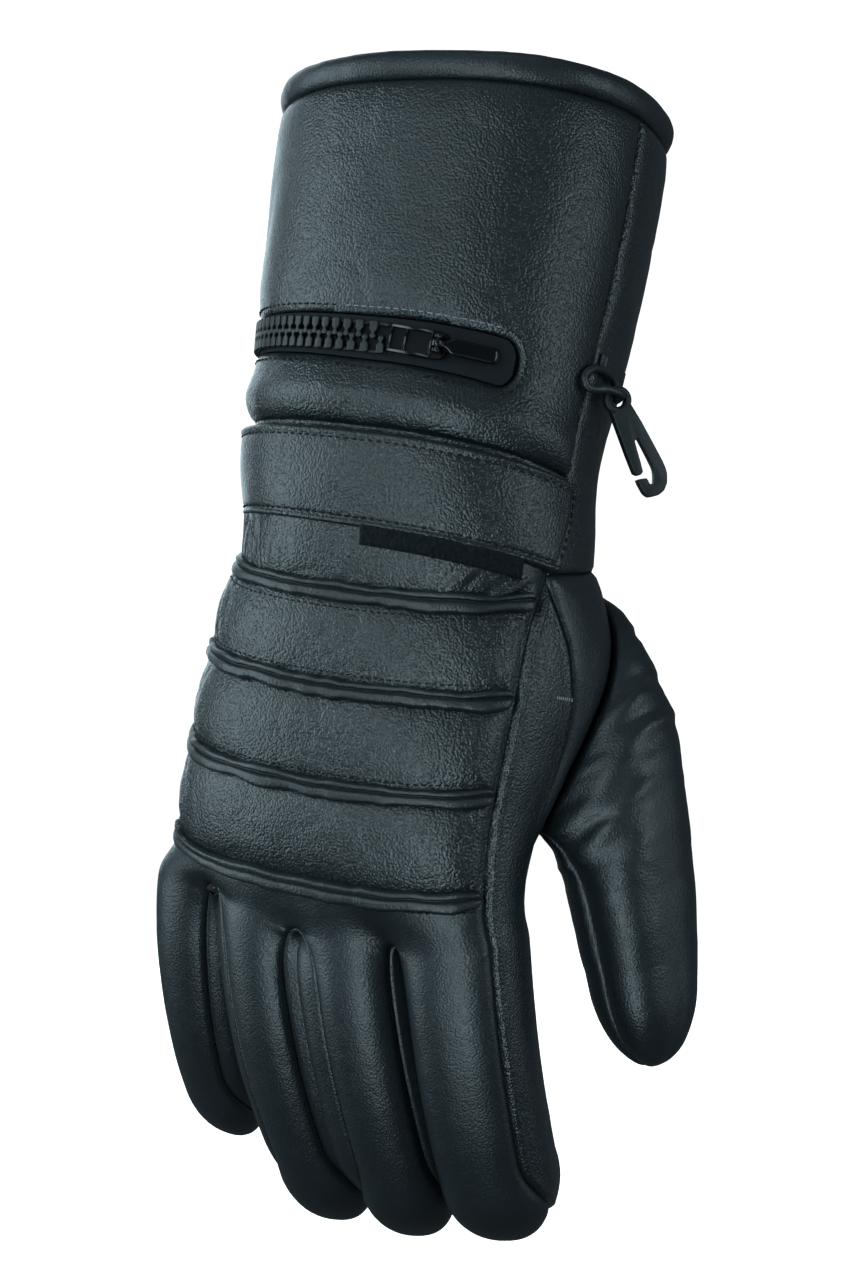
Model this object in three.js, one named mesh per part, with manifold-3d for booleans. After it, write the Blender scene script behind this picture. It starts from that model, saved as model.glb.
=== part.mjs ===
// Right-hand leather motorcycle gauntlet: long cuff, zipped pocket, wrist strap, ribbed back and curled fingers.
// Millimetres, +Z up. The origin is the centre of the cuff's mouth, +X the thumb side, -Y the back of the hand.
import * as THREE from 'three';
import { mergeVertices } from 'three/addons/utils/BufferGeometryUtils.js';
import Module from 'manifold-3d';

const wasm = await Module();
wasm.setup();

// Leather and clearances
const wall = 2.4;
const webWall = 1.6;
const seamGap = 0.3;
const tightTrim = 0.75;
const lift = 0.5;

// The three girths of the sleeve, from its mouth to the knuckles
const trunkLength = 244;
const cuff = { width: 120, depth: 92 };
const wrist = { width: 100, depth: 72 };
const hand = { width: 112, depth: 66 };

// Rows across the back, measured down from the mouth
const foldDrop = 99;
const foldSlant = 22;
const firstRib = 149;
const ribPitch = 25.8;
const ribGrowth = 1.3;
const ribArch = 134;
const wristAboveRib = 7.5;

// Rim roll and welts
const rimHeight = 9.4;
const rimThickness = 7;
const weltWidth = 6.4;
const weltHeight = 2.2;
const weltLift = 0.7;

// Wrist strap and its fastener patch
const strapDrop = 3.7;
const strapWidth = 23.5;
const strapThickness = 1.8;
const strapLift = 0.85;
const strapTurns = { from: 0.004, to: 0.476 };
const patchHeight = 4;
const patchThickness = 1.2;
const patchTurns = { from: 0.253, to: 0.42 };

// Pocket zip
const zipDrop = 72.6;
const zipSlant = 32;
const zipTurns = { from: 0.014, to: 0.362 };
const windowHeight = 10.8;
const windowGrowth = 2.6;
const tapeThickness = 1;
const tapeRecess = 1.2;
const toothPitch = 3.5;
const toothWidth = 1.25;
const toothHeight = 1.5;
const chainWidth = 7.8;
const sliderTurn = 0.276;
const sliderLength = 17.5;
const sliderWidth = 9;
const sliderHeight = 2.2;
const pullLength = 14.5;
const pullWidth = 4.6;
const pullThickness = 1.8;
const pullSlope = 22;
const pinDiameter = 1.3;
const earThickness = 1;
const clearance = 0.3;

// Hanging lace and snap hook
const tab = { u: 0.476, turns: 0.052, v: 0.312, width: 5.6, thickness: 1.4 };
const laceDiameter = 2.4;
const hookPlace = { u: 0.494, v: 0.346, away: 5.6, facing: 37, swing: 24 };
const hookLength = 35;
const hookWidth = 10;
const hookThickness = 3.6;
const hookEye = 3.9;

// Crotches between the fingers and the thumb's opening
const crotchRound = 14;
const thumbRise = 13;

const leather = { color: 0x23282d, roughness: 0.5, metalness: 0 };
const binding = { color: 0x1d2226, roughness: 0.45, metalness: 0 };
const fabric = { color: 0x14171a, roughness: 0.95, metalness: 0 };
const plastic = { color: 0x101214, roughness: 0.3, metalness: 0 };
const enamel = { color: 0x0c0d0f, roughness: 0.2, metalness: 0.4 };

const glove = new THREE.Group();

const lerp = (a, b, t) => a + (b - a) * t;
const clamp = (x, low, high) => Math.min(Math.max(x, low), high);
const ease = (x) => THREE.MathUtils.smoothstep(x, 0, 1);
const radians = THREE.MathUtils.degToRad;
const turn = Math.PI * 2;

// Smooth interpolation down a table whose first column is `at`
function readTable(rows, at) {
  let i = 0;
  while (i < rows.length - 2 && rows[i + 1].at <= at) i += 1;
  const before = rows[Math.max(i - 1, 0)];
  const from = rows[i];
  const to = rows[i + 1];
  const after = rows[Math.min(i + 2, rows.length - 1)];
  const span = to.at - from.at;
  const t = (at - from.at) / span;
  const result = {};
  for (const key of Object.keys(from)) {
    const slopeFrom = (to[key] - before[key]) / (to.at - before.at) * span;
    const slopeTo = (after[key] - from[key]) / (after.at - from.at) * span;
    result[key] = (2 * t ** 3 - 3 * t ** 2 + 1) * from[key] + (t ** 3 - 2 * t ** 2 + t) * slopeFrom
      + (3 * t ** 2 - 2 * t ** 3) * to[key] + (t ** 3 - t ** 2) * slopeTo;
  }
  return result;
}

// Sections of the sleeve. at: share of trunkLength down from the mouth. drift and set: shift towards the thumb
// and towards the back of the hand. half, dorsal and palmar: half width and the two half depths.
const section = (girth, at, drift, set, half, dorsal, palmar, tilt, lean, twist, square) => ({
  at,
  drift: drift * hand.width,
  set: set * cuff.depth,
  half: half * girth.width,
  dorsal: dorsal * girth.depth,
  palmar: palmar * girth.depth,
  tilt,
  lean,
  twist,
  square,
});
const sections = [
  section(cuff, 0.000, 0.004, 0.000, 0.497, 0.500, 0.500, 15, 2, 0, 2.3),
  section(cuff, 0.156, -0.009, 0.109, 0.483, 0.489, 0.489, 15, 2, 0, 2.3),
  section(cuff, 0.311, -0.036, 0.217, 0.458, 0.467, 0.467, 14, 3, 0, 2.3),
  section(cuff, 0.426, -0.054, 0.293, 0.433, 0.435, 0.435, 12, 4, 0, 2.3),
  section(wrist, 0.541, -0.062, 0.348, 0.500, 0.500, 0.500, 9, 5, 0, 2.3),
  section(hand, 0.623, -0.090, 0.370, 0.482, 0.515, 0.515, 6, 7, -2, 2.3),
  section(hand, 0.746, -0.143, 0.402, 0.500, 0.500, 0.470, 3, 8, -5, 2.4),
  section(hand, 0.869, -0.196, 0.424, 0.509, 0.445, 0.360, 0, 8, -8, 2.4),
  section(hand, 1.000, -0.241, 0.435, 0.522, 0.310, 0.215, -3, 8, -10, 2.4),
];

// The swelling under the thumb, where u is in turns round the sleeve
const mound = { u: 0.60, v: 0.660, reachU: 0.11, reachV: 0.135 };

function superellipse(u, half, front, back, square) {
  const c = -Math.cos(u * turn);
  const s = -Math.sin(u * turn);
  const power = 2 / square;
  const depth = s < 0 ? front : back;
  return [half * Math.sign(c) * Math.abs(c) ** power, depth * Math.sign(s) * Math.abs(s) ** power];
}

// Outer surface of the sleeve: u in turns from the little finger's side over the back, v the share of trunkLength
function trunk(u, v) {
  const row = readTable(sections, v);
  let [x, y] = superellipse(u, row.half, row.dorsal, row.palmar, row.square);
  const nearU = (u - mound.u) / mound.reachU;
  const nearV = (v - mound.v) / mound.reachV;
  const swell = 1 + thumbRise * Math.exp(-(nearU ** 2) - nearV ** 2) / Math.hypot(x, y);
  const twist = radians(row.twist);
  const across = swell * (x * Math.cos(twist) - y * Math.sin(twist));
  const deep = swell * (x * Math.sin(twist) + y * Math.cos(twist));
  const lean = radians(row.lean);
  const tilt = radians(row.tilt);
  return new THREE.Vector3(
    row.drift + across * Math.cos(lean),
    -row.set + deep * Math.cos(tilt),
    -v * trunkLength - across * Math.sin(lean) - deep * Math.sin(tilt),
  );
}

// Outward normal of a surface whose first parameter goes round and whose second goes down
function normalOf(surface, a, b, step = 1e-3) {
  const round = surface(a + step, b).sub(surface(a - step, b));
  const down = surface(a, b + step).sub(surface(a, b - step));
  return down.cross(round).normalize();
}

// Rows across the sleeve, as shares of its length
const archAt = (u) => -ribArch * clamp(u - 0.28, -0.28, 0.28) ** 2;
const ribRow = (i, u) => (firstRib + i * ribPitch + i * (i - 1) / 2 * ribGrowth + archAt(u)) / trunkLength;
const wristRow = (u) => ribRow(0, u) - wristAboveRib / trunkLength;
const seamTurn = 0.468;
const slopeAt = (u) => (u < seamTurn ? u : seamTurn * (1 - u) / (1 - seamTurn));
const foldRow = (u) => (foldDrop + foldSlant * slopeAt(u)) / trunkLength;
const rimRow = () => (rimHeight / 2 + seamGap / 2) / trunkLength;
const rowLines = [rimRow, foldRow, wristRow, ...[0, 1, 2, 3].map((i) => (u) => ribRow(i, u))];
const rowsBetween = [6, 2, 1, 3, 3, 3];
function rowAt(step, u) {
  let line = 0;
  while (line < rowsBetween.length - 1 && step > rowsBetween[line]) {
    step -= rowsBetween[line];
    line += 1;
  }
  return lerp(rowLines[line](u), rowLines[line + 1](u), step / rowsBetween[line]);
}
const stepOf = (line) => rowsBetween.slice(0, line).reduce((sum, n) => sum + n, 0);
const [rimStep, foldStep, wristStep, ...ribSteps] = rowLines.map((_, line) => stepOf(line));

// Seams down the thumb side, in turns: the back's edge, and how wide the side strip beyond it is
const seams = [
  { at: 0.00, back: 0.468, strip: 0 },
  { at: 0.46, back: 0.468, strip: 0 },
  { at: 0.53, back: 0.458, strip: 0 },
  { at: 0.565, back: 0.446, strip: 0 },
  { at: 0.60, back: 0.430, strip: 0.033 },
  { at: 0.64, back: 0.422, strip: 0.062 },
  { at: 0.72, back: 0.425, strip: 0.082 },
  { at: 0.82, back: 0.430, strip: 0.090 },
  { at: 0.93, back: 0.437, strip: 0.110 },
  { at: 1.02, back: 0.437, strip: 0.130 },
];
function seamAt(v) {
  const row = readTable(seams, v);
  return { back: row.back, palm: row.back + Math.max(row.strip, 0) };
}

// Fingers, from the little finger on. beside: room to the neighbour's tube. bend: curl at root and tip in degrees.
const fingers = [
  {
    name: 'little', length: 125, width: 28.8, depth: 29, taper: 0.16, columns: 4,
    beside: 0, set: 0.470, drop: 0.820, twist: -14, splay: -12, root: -2, bend: 44,
  },
  {
    name: 'ring', length: 138, width: 29.2, depth: 31, taper: 0.10, columns: 3,
    beside: -7.5, set: 0.606, drop: 0.857, twist: -10, splay: -1, root: -4, bend: 46,
  },
  {
    name: 'middle', length: 133, width: 29.8, depth: 32, taper: 0.08, columns: 3,
    beside: -0.5, set: 0.667, drop: 0.881, twist: -2, splay: 2, root: -4, bend: 44,
  },
  {
    name: 'index', length: 130, width: 33.8, depth: 34, taper: 0.10, columns: 3,
    beside: 3.0, set: 0.685, drop: 0.881, twist: 4, splay: 2.4, root: -4, bend: 40,
  },
];
const thumb = {
  length: 138, width: 42, depth: 40, taper: 0.42, set: 0.24, drop: 0.615, x: 0.34,
  twist: 60, splay: 7.5, root: -14, bend: 2,
};
const tipShare = 0.17;
const fingerSquare = 2.4;
const crotchDrops = [0.943, 0.996, 1.016];
const middleAcross = -0.179;

// Places each finger's root beside its neighbour's, starting from the middle finger
function placeRoots() {
  const middle = fingers[2];
  middle.x = middleAcross * hand.width;
  fingers[3].x = middle.x + (middle.width + fingers[3].width) / 2 + fingers[3].beside;
  fingers[1].x = middle.x - (middle.width + fingers[1].width) / 2 - middle.beside;
  fingers[0].x = fingers[1].x - (fingers[1].width + fingers[0].width) / 2 - fingers[1].beside;
  thumb.x *= hand.width;
  for (const finger of [...fingers, thumb]) {
    finger.origin = new THREE.Vector3(finger.x, -finger.set * hand.depth, -finger.drop * trunkLength);
    const twist = radians(finger.twist);
    const splay = radians(finger.splay);
    const level = new THREE.Vector3(Math.cos(twist), Math.sin(twist), 0);
    finger.palmward = new THREE.Vector3(-Math.sin(twist), Math.cos(twist), 0);
    finger.down = new THREE.Vector3(0, 0, -Math.cos(splay)).addScaledVector(level, Math.sin(splay));
    finger.aside = level.multiplyScalar(Math.cos(splay)).add(new THREE.Vector3(0, 0, Math.sin(splay)));
  }
}
placeRoots();

// Outer surface of a finger's tube. Its centre line bends evenly, so it is an arc; the tip closes as an ellipse.
function tube(finger, u, s) {
  const start = radians(finger.root);
  const change = radians(finger.bend - finger.root);
  const angle = start + change * s;
  const along = finger.length * (Math.sin(angle) - Math.sin(start)) / change;
  const over = finger.length * (Math.cos(start) - Math.cos(angle)) / change;
  const closing = Math.sqrt(Math.max(1 - Math.max((s - 1 + tipShare) / tipShare, 0) ** 2, 0));
  const size = closing * (1 - finger.taper * clamp(s, 0, 1) ** 2) / 2;
  const [x, y] = superellipse(u, finger.width * size, finger.depth * size, finger.depth * size, fingerSquare);
  return finger.origin.clone()
    .addScaledVector(finger.down, along - y * Math.sin(angle))
    .addScaledVector(finger.palmward, over + y * Math.cos(angle))
    .addScaledVector(finger.aside, x);
}
const stationAt = (finger, z) => (-z - finger.drop * trunkLength) / (finger.length * Math.cos(radians(finger.splay)));

// Round the tube, the back panel ends at `edge`; towards the tip the side pieces narrow to a point
const panelEdge = 0.355;
const pointStation = 1 - tipShare + tipShare * Math.sin(radians(60));
const edgeAt = (s) => lerp(panelEdge, 0.5, ease((s - 0.74) / (pointStation - 0.74)));

// Rows of a finger: from the last rib to the crotch, round the crotch, along the tube, round the tip
const yokeRows = 3;
const earlyRows = 3;
const roundRows = [0, 18, 38, 62, 90];
const tubeRows = 6;
const tipRows = [0, 20, 40, 60, 75, 90];
const crotchStep = yokeRows;
const tubeStep = crotchStep + roundRows.length - 1;
const tipStep = tubeStep + tubeRows;
const lastStep = tipStep + tipRows.length - 1;
const pointStep = tipStep + 3;
function angleIn(list, step) {
  const i = clamp(Math.floor(step), 0, list.length - 2);
  return radians(lerp(list[i], list[i + 1], step - i));
}
const tipStation = (step) => 1 - tipShare * (1 - Math.sin(angleIn(tipRows, step)));

// How far down the tube a row lies, and how much of the crotch's pull it still feels
function fingerRow(finger, crotch, step) {
  if (step <= crotchStep) return { station: crotch, pull: 1 };
  if (step <= tubeStep) {
    const angle = angleIn(roundRows, step - crotchStep);
    return { station: crotch + crotchRound * (1 - Math.cos(angle)) / finger.length, pull: 1 - Math.sin(angle) };
  }
  const roundEnd = crotch + crotchRound / finger.length;
  if (step <= tipStep) return { station: lerp(roundEnd, 1 - tipShare, (step - tubeStep) / tubeRows), pull: 0 };
  return { station: tipStation(step - tipStep), pull: 0 };
}
fingers.forEach((finger, i) => {
  finger.crotches = [crotchDrops[i - 1] ?? crotchDrops[i], crotchDrops[i] ?? crotchDrops[i - 1]]
    .map((drop) => stationAt(finger, -drop * trunkLength));
});

// Shares of the back's and the palm's width at which one finger's part ends and the next begins
const backShares = [0, 0.339, 0.532, 0.689, 1];
const palmShares = [0, 0.373, 0.516, 0.692, 1];
const backTurn = (share, v) => share * seamAt(v).back;
const palmTurn = (share, v) => lerp(seamAt(v).palm, 1, share);

// A finger's own part of the hand before its crotches are drawn together. across: 0 at the little finger's
// side. face: where its rows start on the sleeve, its run of turns over the sleeve and over the tube, and
// how early the sleeve turns into the tube: 0 from the last rib, as on the back, 1 from the rib before it.
function looseFinger(finger, face, across, step) {
  const crotch = lerp(finger.crotches[0], finger.crotches[1], face.crotch ?? across);
  const { station } = fingerRow(finger, crotch, step);
  const edges = face.tube(Math.max(station, 0));
  if (step >= crotchStep) return tube(finger, lerp(edges[0], edges[1], across), station);
  const rowTurn = face.rowTurn(across);
  const rib = ribRow(3, rowTurn);
  const v = step < 0 ? lerp(rib, ribRow(2, rowTurn), -step / earlyRows) : lerp(rib, 1, step / yokeRows);
  const onSleeve = trunk(face.sleeve(across, v), v);
  const start = Math.min(v, rib);
  const level = stationAt(finger, trunk(face.sleeve(across, start), start).z);
  const onTube = tube(finger, lerp(edges[0], edges[1], across), lerp(level, crotch, Math.max(step / yokeRows, 0)));
  const early = earlyRows * face.early(across);
  return onSleeve.lerp(onTube, ease((step + early) / (crotchStep + early)));
}

// The faces of finger i: back, front and, on the index finger, the thumb side
function backFace(i) {
  const share = (across) => lerp(backShares[i], backShares[i + 1], across);
  return {
    rowTurn: (across) => lerp(0, seamTurn, share(across)),
    sleeve: (across, v) => backTurn(share(across), v),
    early: () => 0,
    tube: (s) => [i === 0 ? 0 : 0.5 - edgeAt(s), edgeAt(s)],
  };
}
function frontFace(i) {
  const share = (across) => lerp(palmShares[4 - i], palmShares[3 - i], across);
  return {
    rowTurn: (across) => lerp(seamTurn, 1, share(across)),
    sleeve: (across, v) => palmTurn(share(across), v),
    early: (across) => (i === 0 ? ease(2 * across) : 1),
    tube: (s) => [i === 0 ? 1 : 0.5 + edgeAt(s), 1 - edgeAt(s)],
  };
}
const thumbSideFace = {
  rowTurn: () => seamTurn,
  sleeve: (across, v) => lerp(seamAt(v).back, seamAt(v).palm, across),
  early: (across) => across,
  tube: (s) => [edgeAt(s), 1 - edgeAt(s)],
  crotch: 1,
};

// A point of finger i with its crotches drawn together: above a crotch two neighbours share their valley
function fingerPoint(i, makeFace, across, step) {
  const finger = fingers[i];
  const face = makeFace(i);
  const point = looseFinger(finger, face, across, step);
  for (const side of [0, 1]) {
    const other = i + (side === 0 ? -1 : 1);
    if (other < 0 || other > 3) continue;
    const { pull } = fingerRow(finger, finger.crotches[side], step);
    const heldAt = Math.min(step, crotchStep);
    const own = looseFinger(finger, face, side, heldAt);
    const theirs = looseFinger(fingers[other], makeFace(other), 1 - side, heldAt);
    const reach = clamp(1 - Math.abs(across - side) / 0.6, 0, 1) ** 2;
    point.addScaledVector(theirs.sub(own), 0.5 * pull * reach);
  }
  return point;
}

// A grid of points and normals over a surface of (column, row), both counted in steps
function gridOf(surface, columns, rows, options = {}) {
  const nudge = 0.01;
  const points = [];
  const normals = [];
  for (const row of rows) {
    const inner = clamp(row, rows[0] + nudge, rows[rows.length - 1] - (options.pole ? 0.05 : nudge));
    points.push(columns.map((column) => surface(column, row)));
    normals.push(columns.map((column) => {
      const sideways = clamp(column, columns[0] + nudge, columns[columns.length - 1] - nudge);
      return options.normal?.(column, row) ?? normalOf(surface, sideways, inner, nudge * 0.5);
    }));
  }
  return { points, normals };
}
const count = (from, to, parts = to - from) => Array.from({ length: parts + 1 }, (_, i) => lerp(from, to, i / parts));

// Shared corner of neighbouring pieces, so that their edges lean alike
const corners = new Map();
const cornerKey = (point) => point.toArray().map((x) => Math.round(x * 500)).join(',');
function shareCorners(grids) {
  for (const { points, normals } of grids) {
    points.forEach((row, j) => row.forEach((point, i) => {
      const key = cornerKey(point);
      if (!corners.has(key)) corners.set(key, new THREE.Vector3());
      corners.get(key).add(normals[j][i]);
    }));
  }
}

// Neighbouring edges meet in the same order whichever piece they belong to
const isBelow = (a, b) => (a.z - b.z || a.x - b.x || a.y - b.y) < 0;

// Closes one or more grids into a wall between two offsets of their surface, its rims drawn back by `trim`
function wallFrom(grids, { outer = 0, inner = wall, trim = seamGap / 2 } = {}) {
  const points = [];
  const leans = [];
  const index = new Map();
  const idOf = (point, normal) => {
    const key = cornerKey(point);
    if (!index.has(key)) {
      index.set(key, points.length);
      points.push(point.clone());
      leans.push((corners.get(key) ?? normal).clone().normalize());
    }
    return index.get(key);
  };
  const faces = [];
  for (const grid of grids) {
    const ids = grid.points.map((row, j) => row.map((point, i) => idOf(point, grid.normals[j][i])));
    for (let j = 0; j + 1 < ids.length; j += 1) {
      for (let i = 0; i + 1 < ids[j].length; i += 1) {
        const [a, b, c, d] = [ids[j][i], ids[j][i + 1], ids[j + 1][i + 1], ids[j + 1][i]];
        for (const face of [[a, d, c], [a, c, b]]) {
          if (new Set(face).size === 3) faces.push(face);
        }
      }
    }
  }
  const edges = new Map();
  for (const face of faces) {
    face.forEach((from, k) => edges.set(`${from},${face[(k + 1) % 3]}`, [from, face[(k + 1) % 3]]));
  }
  const rim = [...edges.values()].filter(([from, to]) => !edges.has(`${to},${from}`));
  const pulls = points.map(() => new THREE.Vector3());
  for (const [from, to] of rim) {
    const along = points[to].clone().sub(points[from]).normalize();
    pulls[from].add(leans[from].clone().cross(along).normalize());
    pulls[to].add(leans[to].clone().cross(along).normalize());
  }
  pulls.forEach((pull, i) => points[i].addScaledVector(pull.normalize(), trim));
  const top = points.map((point, i) => point.clone().addScaledVector(leans[i], outer));
  const bottom = points.map((point, i) => point.clone().addScaledVector(leans[i], -inner));
  const far = points.length;
  const triangles = [
    ...faces,
    ...faces.map(([a, b, c]) => [a + far, c + far, b + far]),
    ...rim.flatMap(([from, to]) => (isBelow(points[from], points[to])
      ? [[to, from, from + far], [to, from + far, to + far]]
      : [[from, from + far, to + far], [from, to + far, to]])),
  ];
  return geometryOf([...top, ...bottom], triangles);
}

function geometryOf(points, triangles) {
  const geometry = new THREE.BufferGeometry();
  geometry.setAttribute('position', new THREE.Float32BufferAttribute(points.flatMap((point) => point.toArray()), 3));
  geometry.setIndex(triangles.flat());
  return geometry;
}

// Carries a closed outline along stations {point, side, up}; an open run gets flat ends
function sweep(stations, outline, closed = false) {
  const n = outline.length;
  const points = stations.flatMap(({ point, side, up }) => outline
    .map(([x, y]) => point.clone().addScaledVector(side, x).addScaledVector(up, y)));
  const triangles = [];
  const runs = closed ? stations.length : stations.length - 1;
  for (let j = 0; j < runs; j += 1) {
    const next = (j + 1) % stations.length;
    for (let i = 0; i < n; i += 1) {
      const k = (i + 1) % n;
      triangles.push([j * n + i, j * n + k, next * n + k], [j * n + i, next * n + k, next * n + i]);
    }
  }
  if (!closed) {
    const cap = THREE.ShapeUtils.triangulateShape(outline.map(([x, y]) => new THREE.Vector2(x, y)), []);
    const last = (stations.length - 1) * n;
    triangles.push(...cap.map(([a, b, c]) => [a, c, b]));
    triangles.push(...cap.map(([a, b, c]) => [last + a, last + b, last + c]));
  }
  return geometryOf(points, triangles);
}
const ovalOutline = (width, height, sides) => count(0, 1, sides).slice(0, sides)
  .map((t) => [width / 2 * Math.cos(t * turn), height / 2 * Math.sin(t * turn)]);

// Solids for joining and cutting
function solidOf(geometry) {
  const bare = geometry.clone();
  bare.deleteAttribute('normal');
  bare.deleteAttribute('uv');
  const merged = mergeVertices(bare, 1e-4);
  return new wasm.Manifold(new wasm.Mesh({
    numProp: 3,
    vertProperties: new Float32Array(merged.attributes.position.array),
    triVerts: new Uint32Array(merged.index.array),
  }));
}
function geometryFrom(solid) {
  const mesh = solid.getMesh();
  const geometry = new THREE.BufferGeometry();
  geometry.setAttribute('position', new THREE.BufferAttribute(new Float32Array(mesh.vertProperties), 3));
  geometry.setIndex(new THREE.BufferAttribute(new Uint32Array(mesh.triVerts), 1));
  return geometry;
}
const joined = (geometries) => geometryFrom(geometries.map(solidOf).reduce((all, next) => all.add(next)));
const cut = (geometry, ...tools) => geometryFrom(tools.map(solidOf).reduce((all, tool) => all.subtract(tool), solidOf(geometry)));

function add(name, geometry, look) {
  const mesh = new THREE.Mesh(geometry, new THREE.MeshStandardMaterial(look));
  mesh.name = name;
  glove.add(mesh);
  return mesh;
}

// Columns round the sleeve, counted in steps from the little finger's side
const backColumns = fingers.reduce((sum, finger) => sum + finger.columns, 0);
function shareAt(shares, widths, column) {
  let part = 0;
  while (part < widths.length - 1 && column > widths[part]) {
    column -= widths[part];
    part += 1;
  }
  return lerp(shares[part], shares[part + 1], column / widths[part]);
}
const backWidths = fingers.map((finger) => finger.columns);
const palmWidths = [...backWidths].reverse();
const backSurface = (column, step) => {
  const share = shareAt(backShares, backWidths, column);
  const v = rowAt(step, seamTurn * share);
  return trunk(backTurn(share, v), v);
};
const palmSurface = (column, step) => {
  const share = shareAt(palmShares, palmWidths, column);
  const v = rowAt(step, lerp(seamTurn, 1, share));
  return trunk(palmTurn(share, v), v);
};

// Fingers and hand as one run of steps: sleeve rows down to the last rib, then the finger's own rows
const yokeStep = ribSteps[3];
const earlyStep = ribSteps[2];
const stripSurface = (across, step) => {
  if (step > earlyStep) return looseFinger(fingers[3], thumbSideFace, across, step - yokeStep);
  const v = rowAt(step, seamTurn);
  return trunk(lerp(seamAt(v).back, seamAt(v).palm, across), v);
};

// The side piece between finger i and the next: up one finger's side, over the crotch, down the next one's
function webPoint(i, deep, run) {
  const turnOn = (side, s) => (side === 1 ? lerp(edgeAt(s), 1 - edgeAt(s), deep)
    : lerp(0.5 - edgeAt(s), edgeAt(s) - 0.5, deep));
  const sides = [{ finger: fingers[i], side: 1 }, { finger: fingers[i + 1], side: 0 }];
  const [own, other] = run <= 0 ? sides : [sides[1], sides[0]];
  const onSide = ({ finger, side }, station) => tube(finger, turnOn(side, station), station);
  const crotchOf = ({ finger, side }) => finger.crotches[side];
  const { station, pull } = fingerRow(own.finger, crotchOf(own), crotchStep + Math.abs(run));
  const shift = onSide(other, crotchOf(other)).sub(onSide(own, crotchOf(own))).multiplyScalar(0.5 * pull);
  return onSide(own, station).add(shift);
}

// The thumb leaves the palm through an oval loop; theta is in turns and follows the thumb's tube
const thumbLoop = { u: 0.605, v: 0.706, halfU: 0.055, halfV: 0.148, skew: 0.01 };
function loopTurn(theta, size = 1) {
  const angle = theta * turn;
  return [
    thumbLoop.u - size * (thumbLoop.halfU * Math.sin(angle) + thumbLoop.skew * Math.cos(angle)),
    thumbLoop.v + size * thumbLoop.halfV * Math.cos(angle),
  ];
}
const thumbRows = [0, 0.05, 0.11, 0.18, 0.27, 0.37, 0.5, 0.65, 0.82, 1];
const thumbBlend = 0.4;
function thumbPoint(theta, step) {
  const root = trunk(...loopTurn(theta));
  const last = thumbRows.length - 1;
  const i = clamp(Math.floor(step), 0, last - 1);
  const down = step <= last ? lerp(thumbRows[i], thumbRows[i + 1], step - i) : 1;
  const station = step > last ? tipStation(step - last) : lerp(stationAt(thumb, root.z), 1 - tipShare, down);
  const leave = 1 - (1 - clamp(down / thumbBlend, 0, 1)) ** 2;
  return root.lerp(tube(thumb, theta, station), leave);
}
const thumbLast = thumbRows.length + tipRows.length - 2;

// Every sheet of leather as grids of steps round and down
const sheets = {};
const steps = (from, to) => count(from, to);
sheets.cuff_back = [gridOf(backSurface, steps(0, backColumns), steps(rimStep, foldStep))];
sheets.cuff_palm = [gridOf(palmSurface, steps(0, backColumns), steps(rimStep, wristStep))];
sheets.wrist_panel = [gridOf(backSurface, steps(0, backColumns), steps(foldStep, ribSteps[0]))];
[0, 1, 2].forEach((i) => {
  const rows = steps(ribSteps[i], ribSteps[i + 1]);
  sheets[`back_band_${i + 1}`] = [gridOf(backSurface, steps(0, backColumns), rows)];
});
sheets.finger_backs = fingers.map((finger, i) => gridOf(
  (column, step) => fingerPoint(i, backFace, column / finger.columns, step),
  steps(0, finger.columns), steps(0, lastStep), { pole: true },
));
sheets.palm = [
  gridOf(palmSurface, steps(0, backColumns), steps(wristStep, earlyStep)),
  ...fingers.map((finger, i) => gridOf(
    (column, step) => fingerPoint(i, frontFace, 1 - column / finger.columns, step),
    steps(0, finger.columns), steps(-earlyRows, lastStep), { pole: true },
  )),
];
const sideColumns = 3;
sheets.side_strip = [gridOf(
  (column, step) => stripSurface(column / sideColumns, step),
  steps(0, sideColumns), steps(wristStep, yokeStep + pointStep),
)];
const webRows = pointStep - crotchStep;
['little_ring', 'ring_middle', 'middle_index'].forEach((pair, i) => {
  sheets[`fourchette_${pair}`] = [gridOf(
    (column, run) => webPoint(i, 1 - column / sideColumns, run),
    steps(0, sideColumns), steps(-webRows, webRows),
  )];
});
Object.values(sheets).forEach(shareCorners);

// The palm's opening for the thumb, cut square to the leather
const loopColumns = 14;
const plugGrid = gridOf(
  (column, ring) => trunk(...loopTurn(-column / loopColumns, ring)),
  steps(0, loopColumns), [0, 0.5, 1],
  { normal: (column, ring) => normalOf(trunk, ...loopTurn(-column / loopColumns, ring)) },
);
const thumbPlug = wallFrom([plugGrid], { outer: 3, inner: wall + 3, trim: -seamGap });
const thumbNormal = (column, row) => (row === 0 ? normalOf(trunk, ...loopTurn(column / loopColumns)) : undefined);
const thumbHalf = (from) => gridOf(
  (column, row) => thumbPoint(column / loopColumns, row),
  steps(from, from + loopColumns / 2), steps(0, thumbLast), { pole: true, normal: thumbNormal },
);
sheets.thumb_back = [thumbHalf(0)];
sheets.thumb_palm = [thumbHalf(loopColumns / 2)];
shareCorners(sheets.thumb_back);
shareCorners(sheets.thumb_palm);

for (const [name, grids] of Object.entries(sheets)) {
  const isWeb = name.startsWith('fourchette');
  const trim = isWeb || name.startsWith('thumb') ? tightTrim : seamGap / 2;
  const geometry = wallFrom(grids, { trim, inner: isWeb ? webWall : wall });
  if (name === 'palm') add(name, cut(geometry, thumbPlug), leather);
  else add(name, geometry, leather);
}

// Place on the sleeve: the point, the outward normal, and the level and downward directions across it
function placeOn(u, v, away = 0) {
  const out = normalOf(trunk, u, v);
  const along = trunk(u + 1e-3, v).sub(trunk(u - 1e-3, v)).normalize();
  return { point: trunk(u, v).addScaledVector(out, away), along, out, up: out.clone().cross(along) };
}

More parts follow.
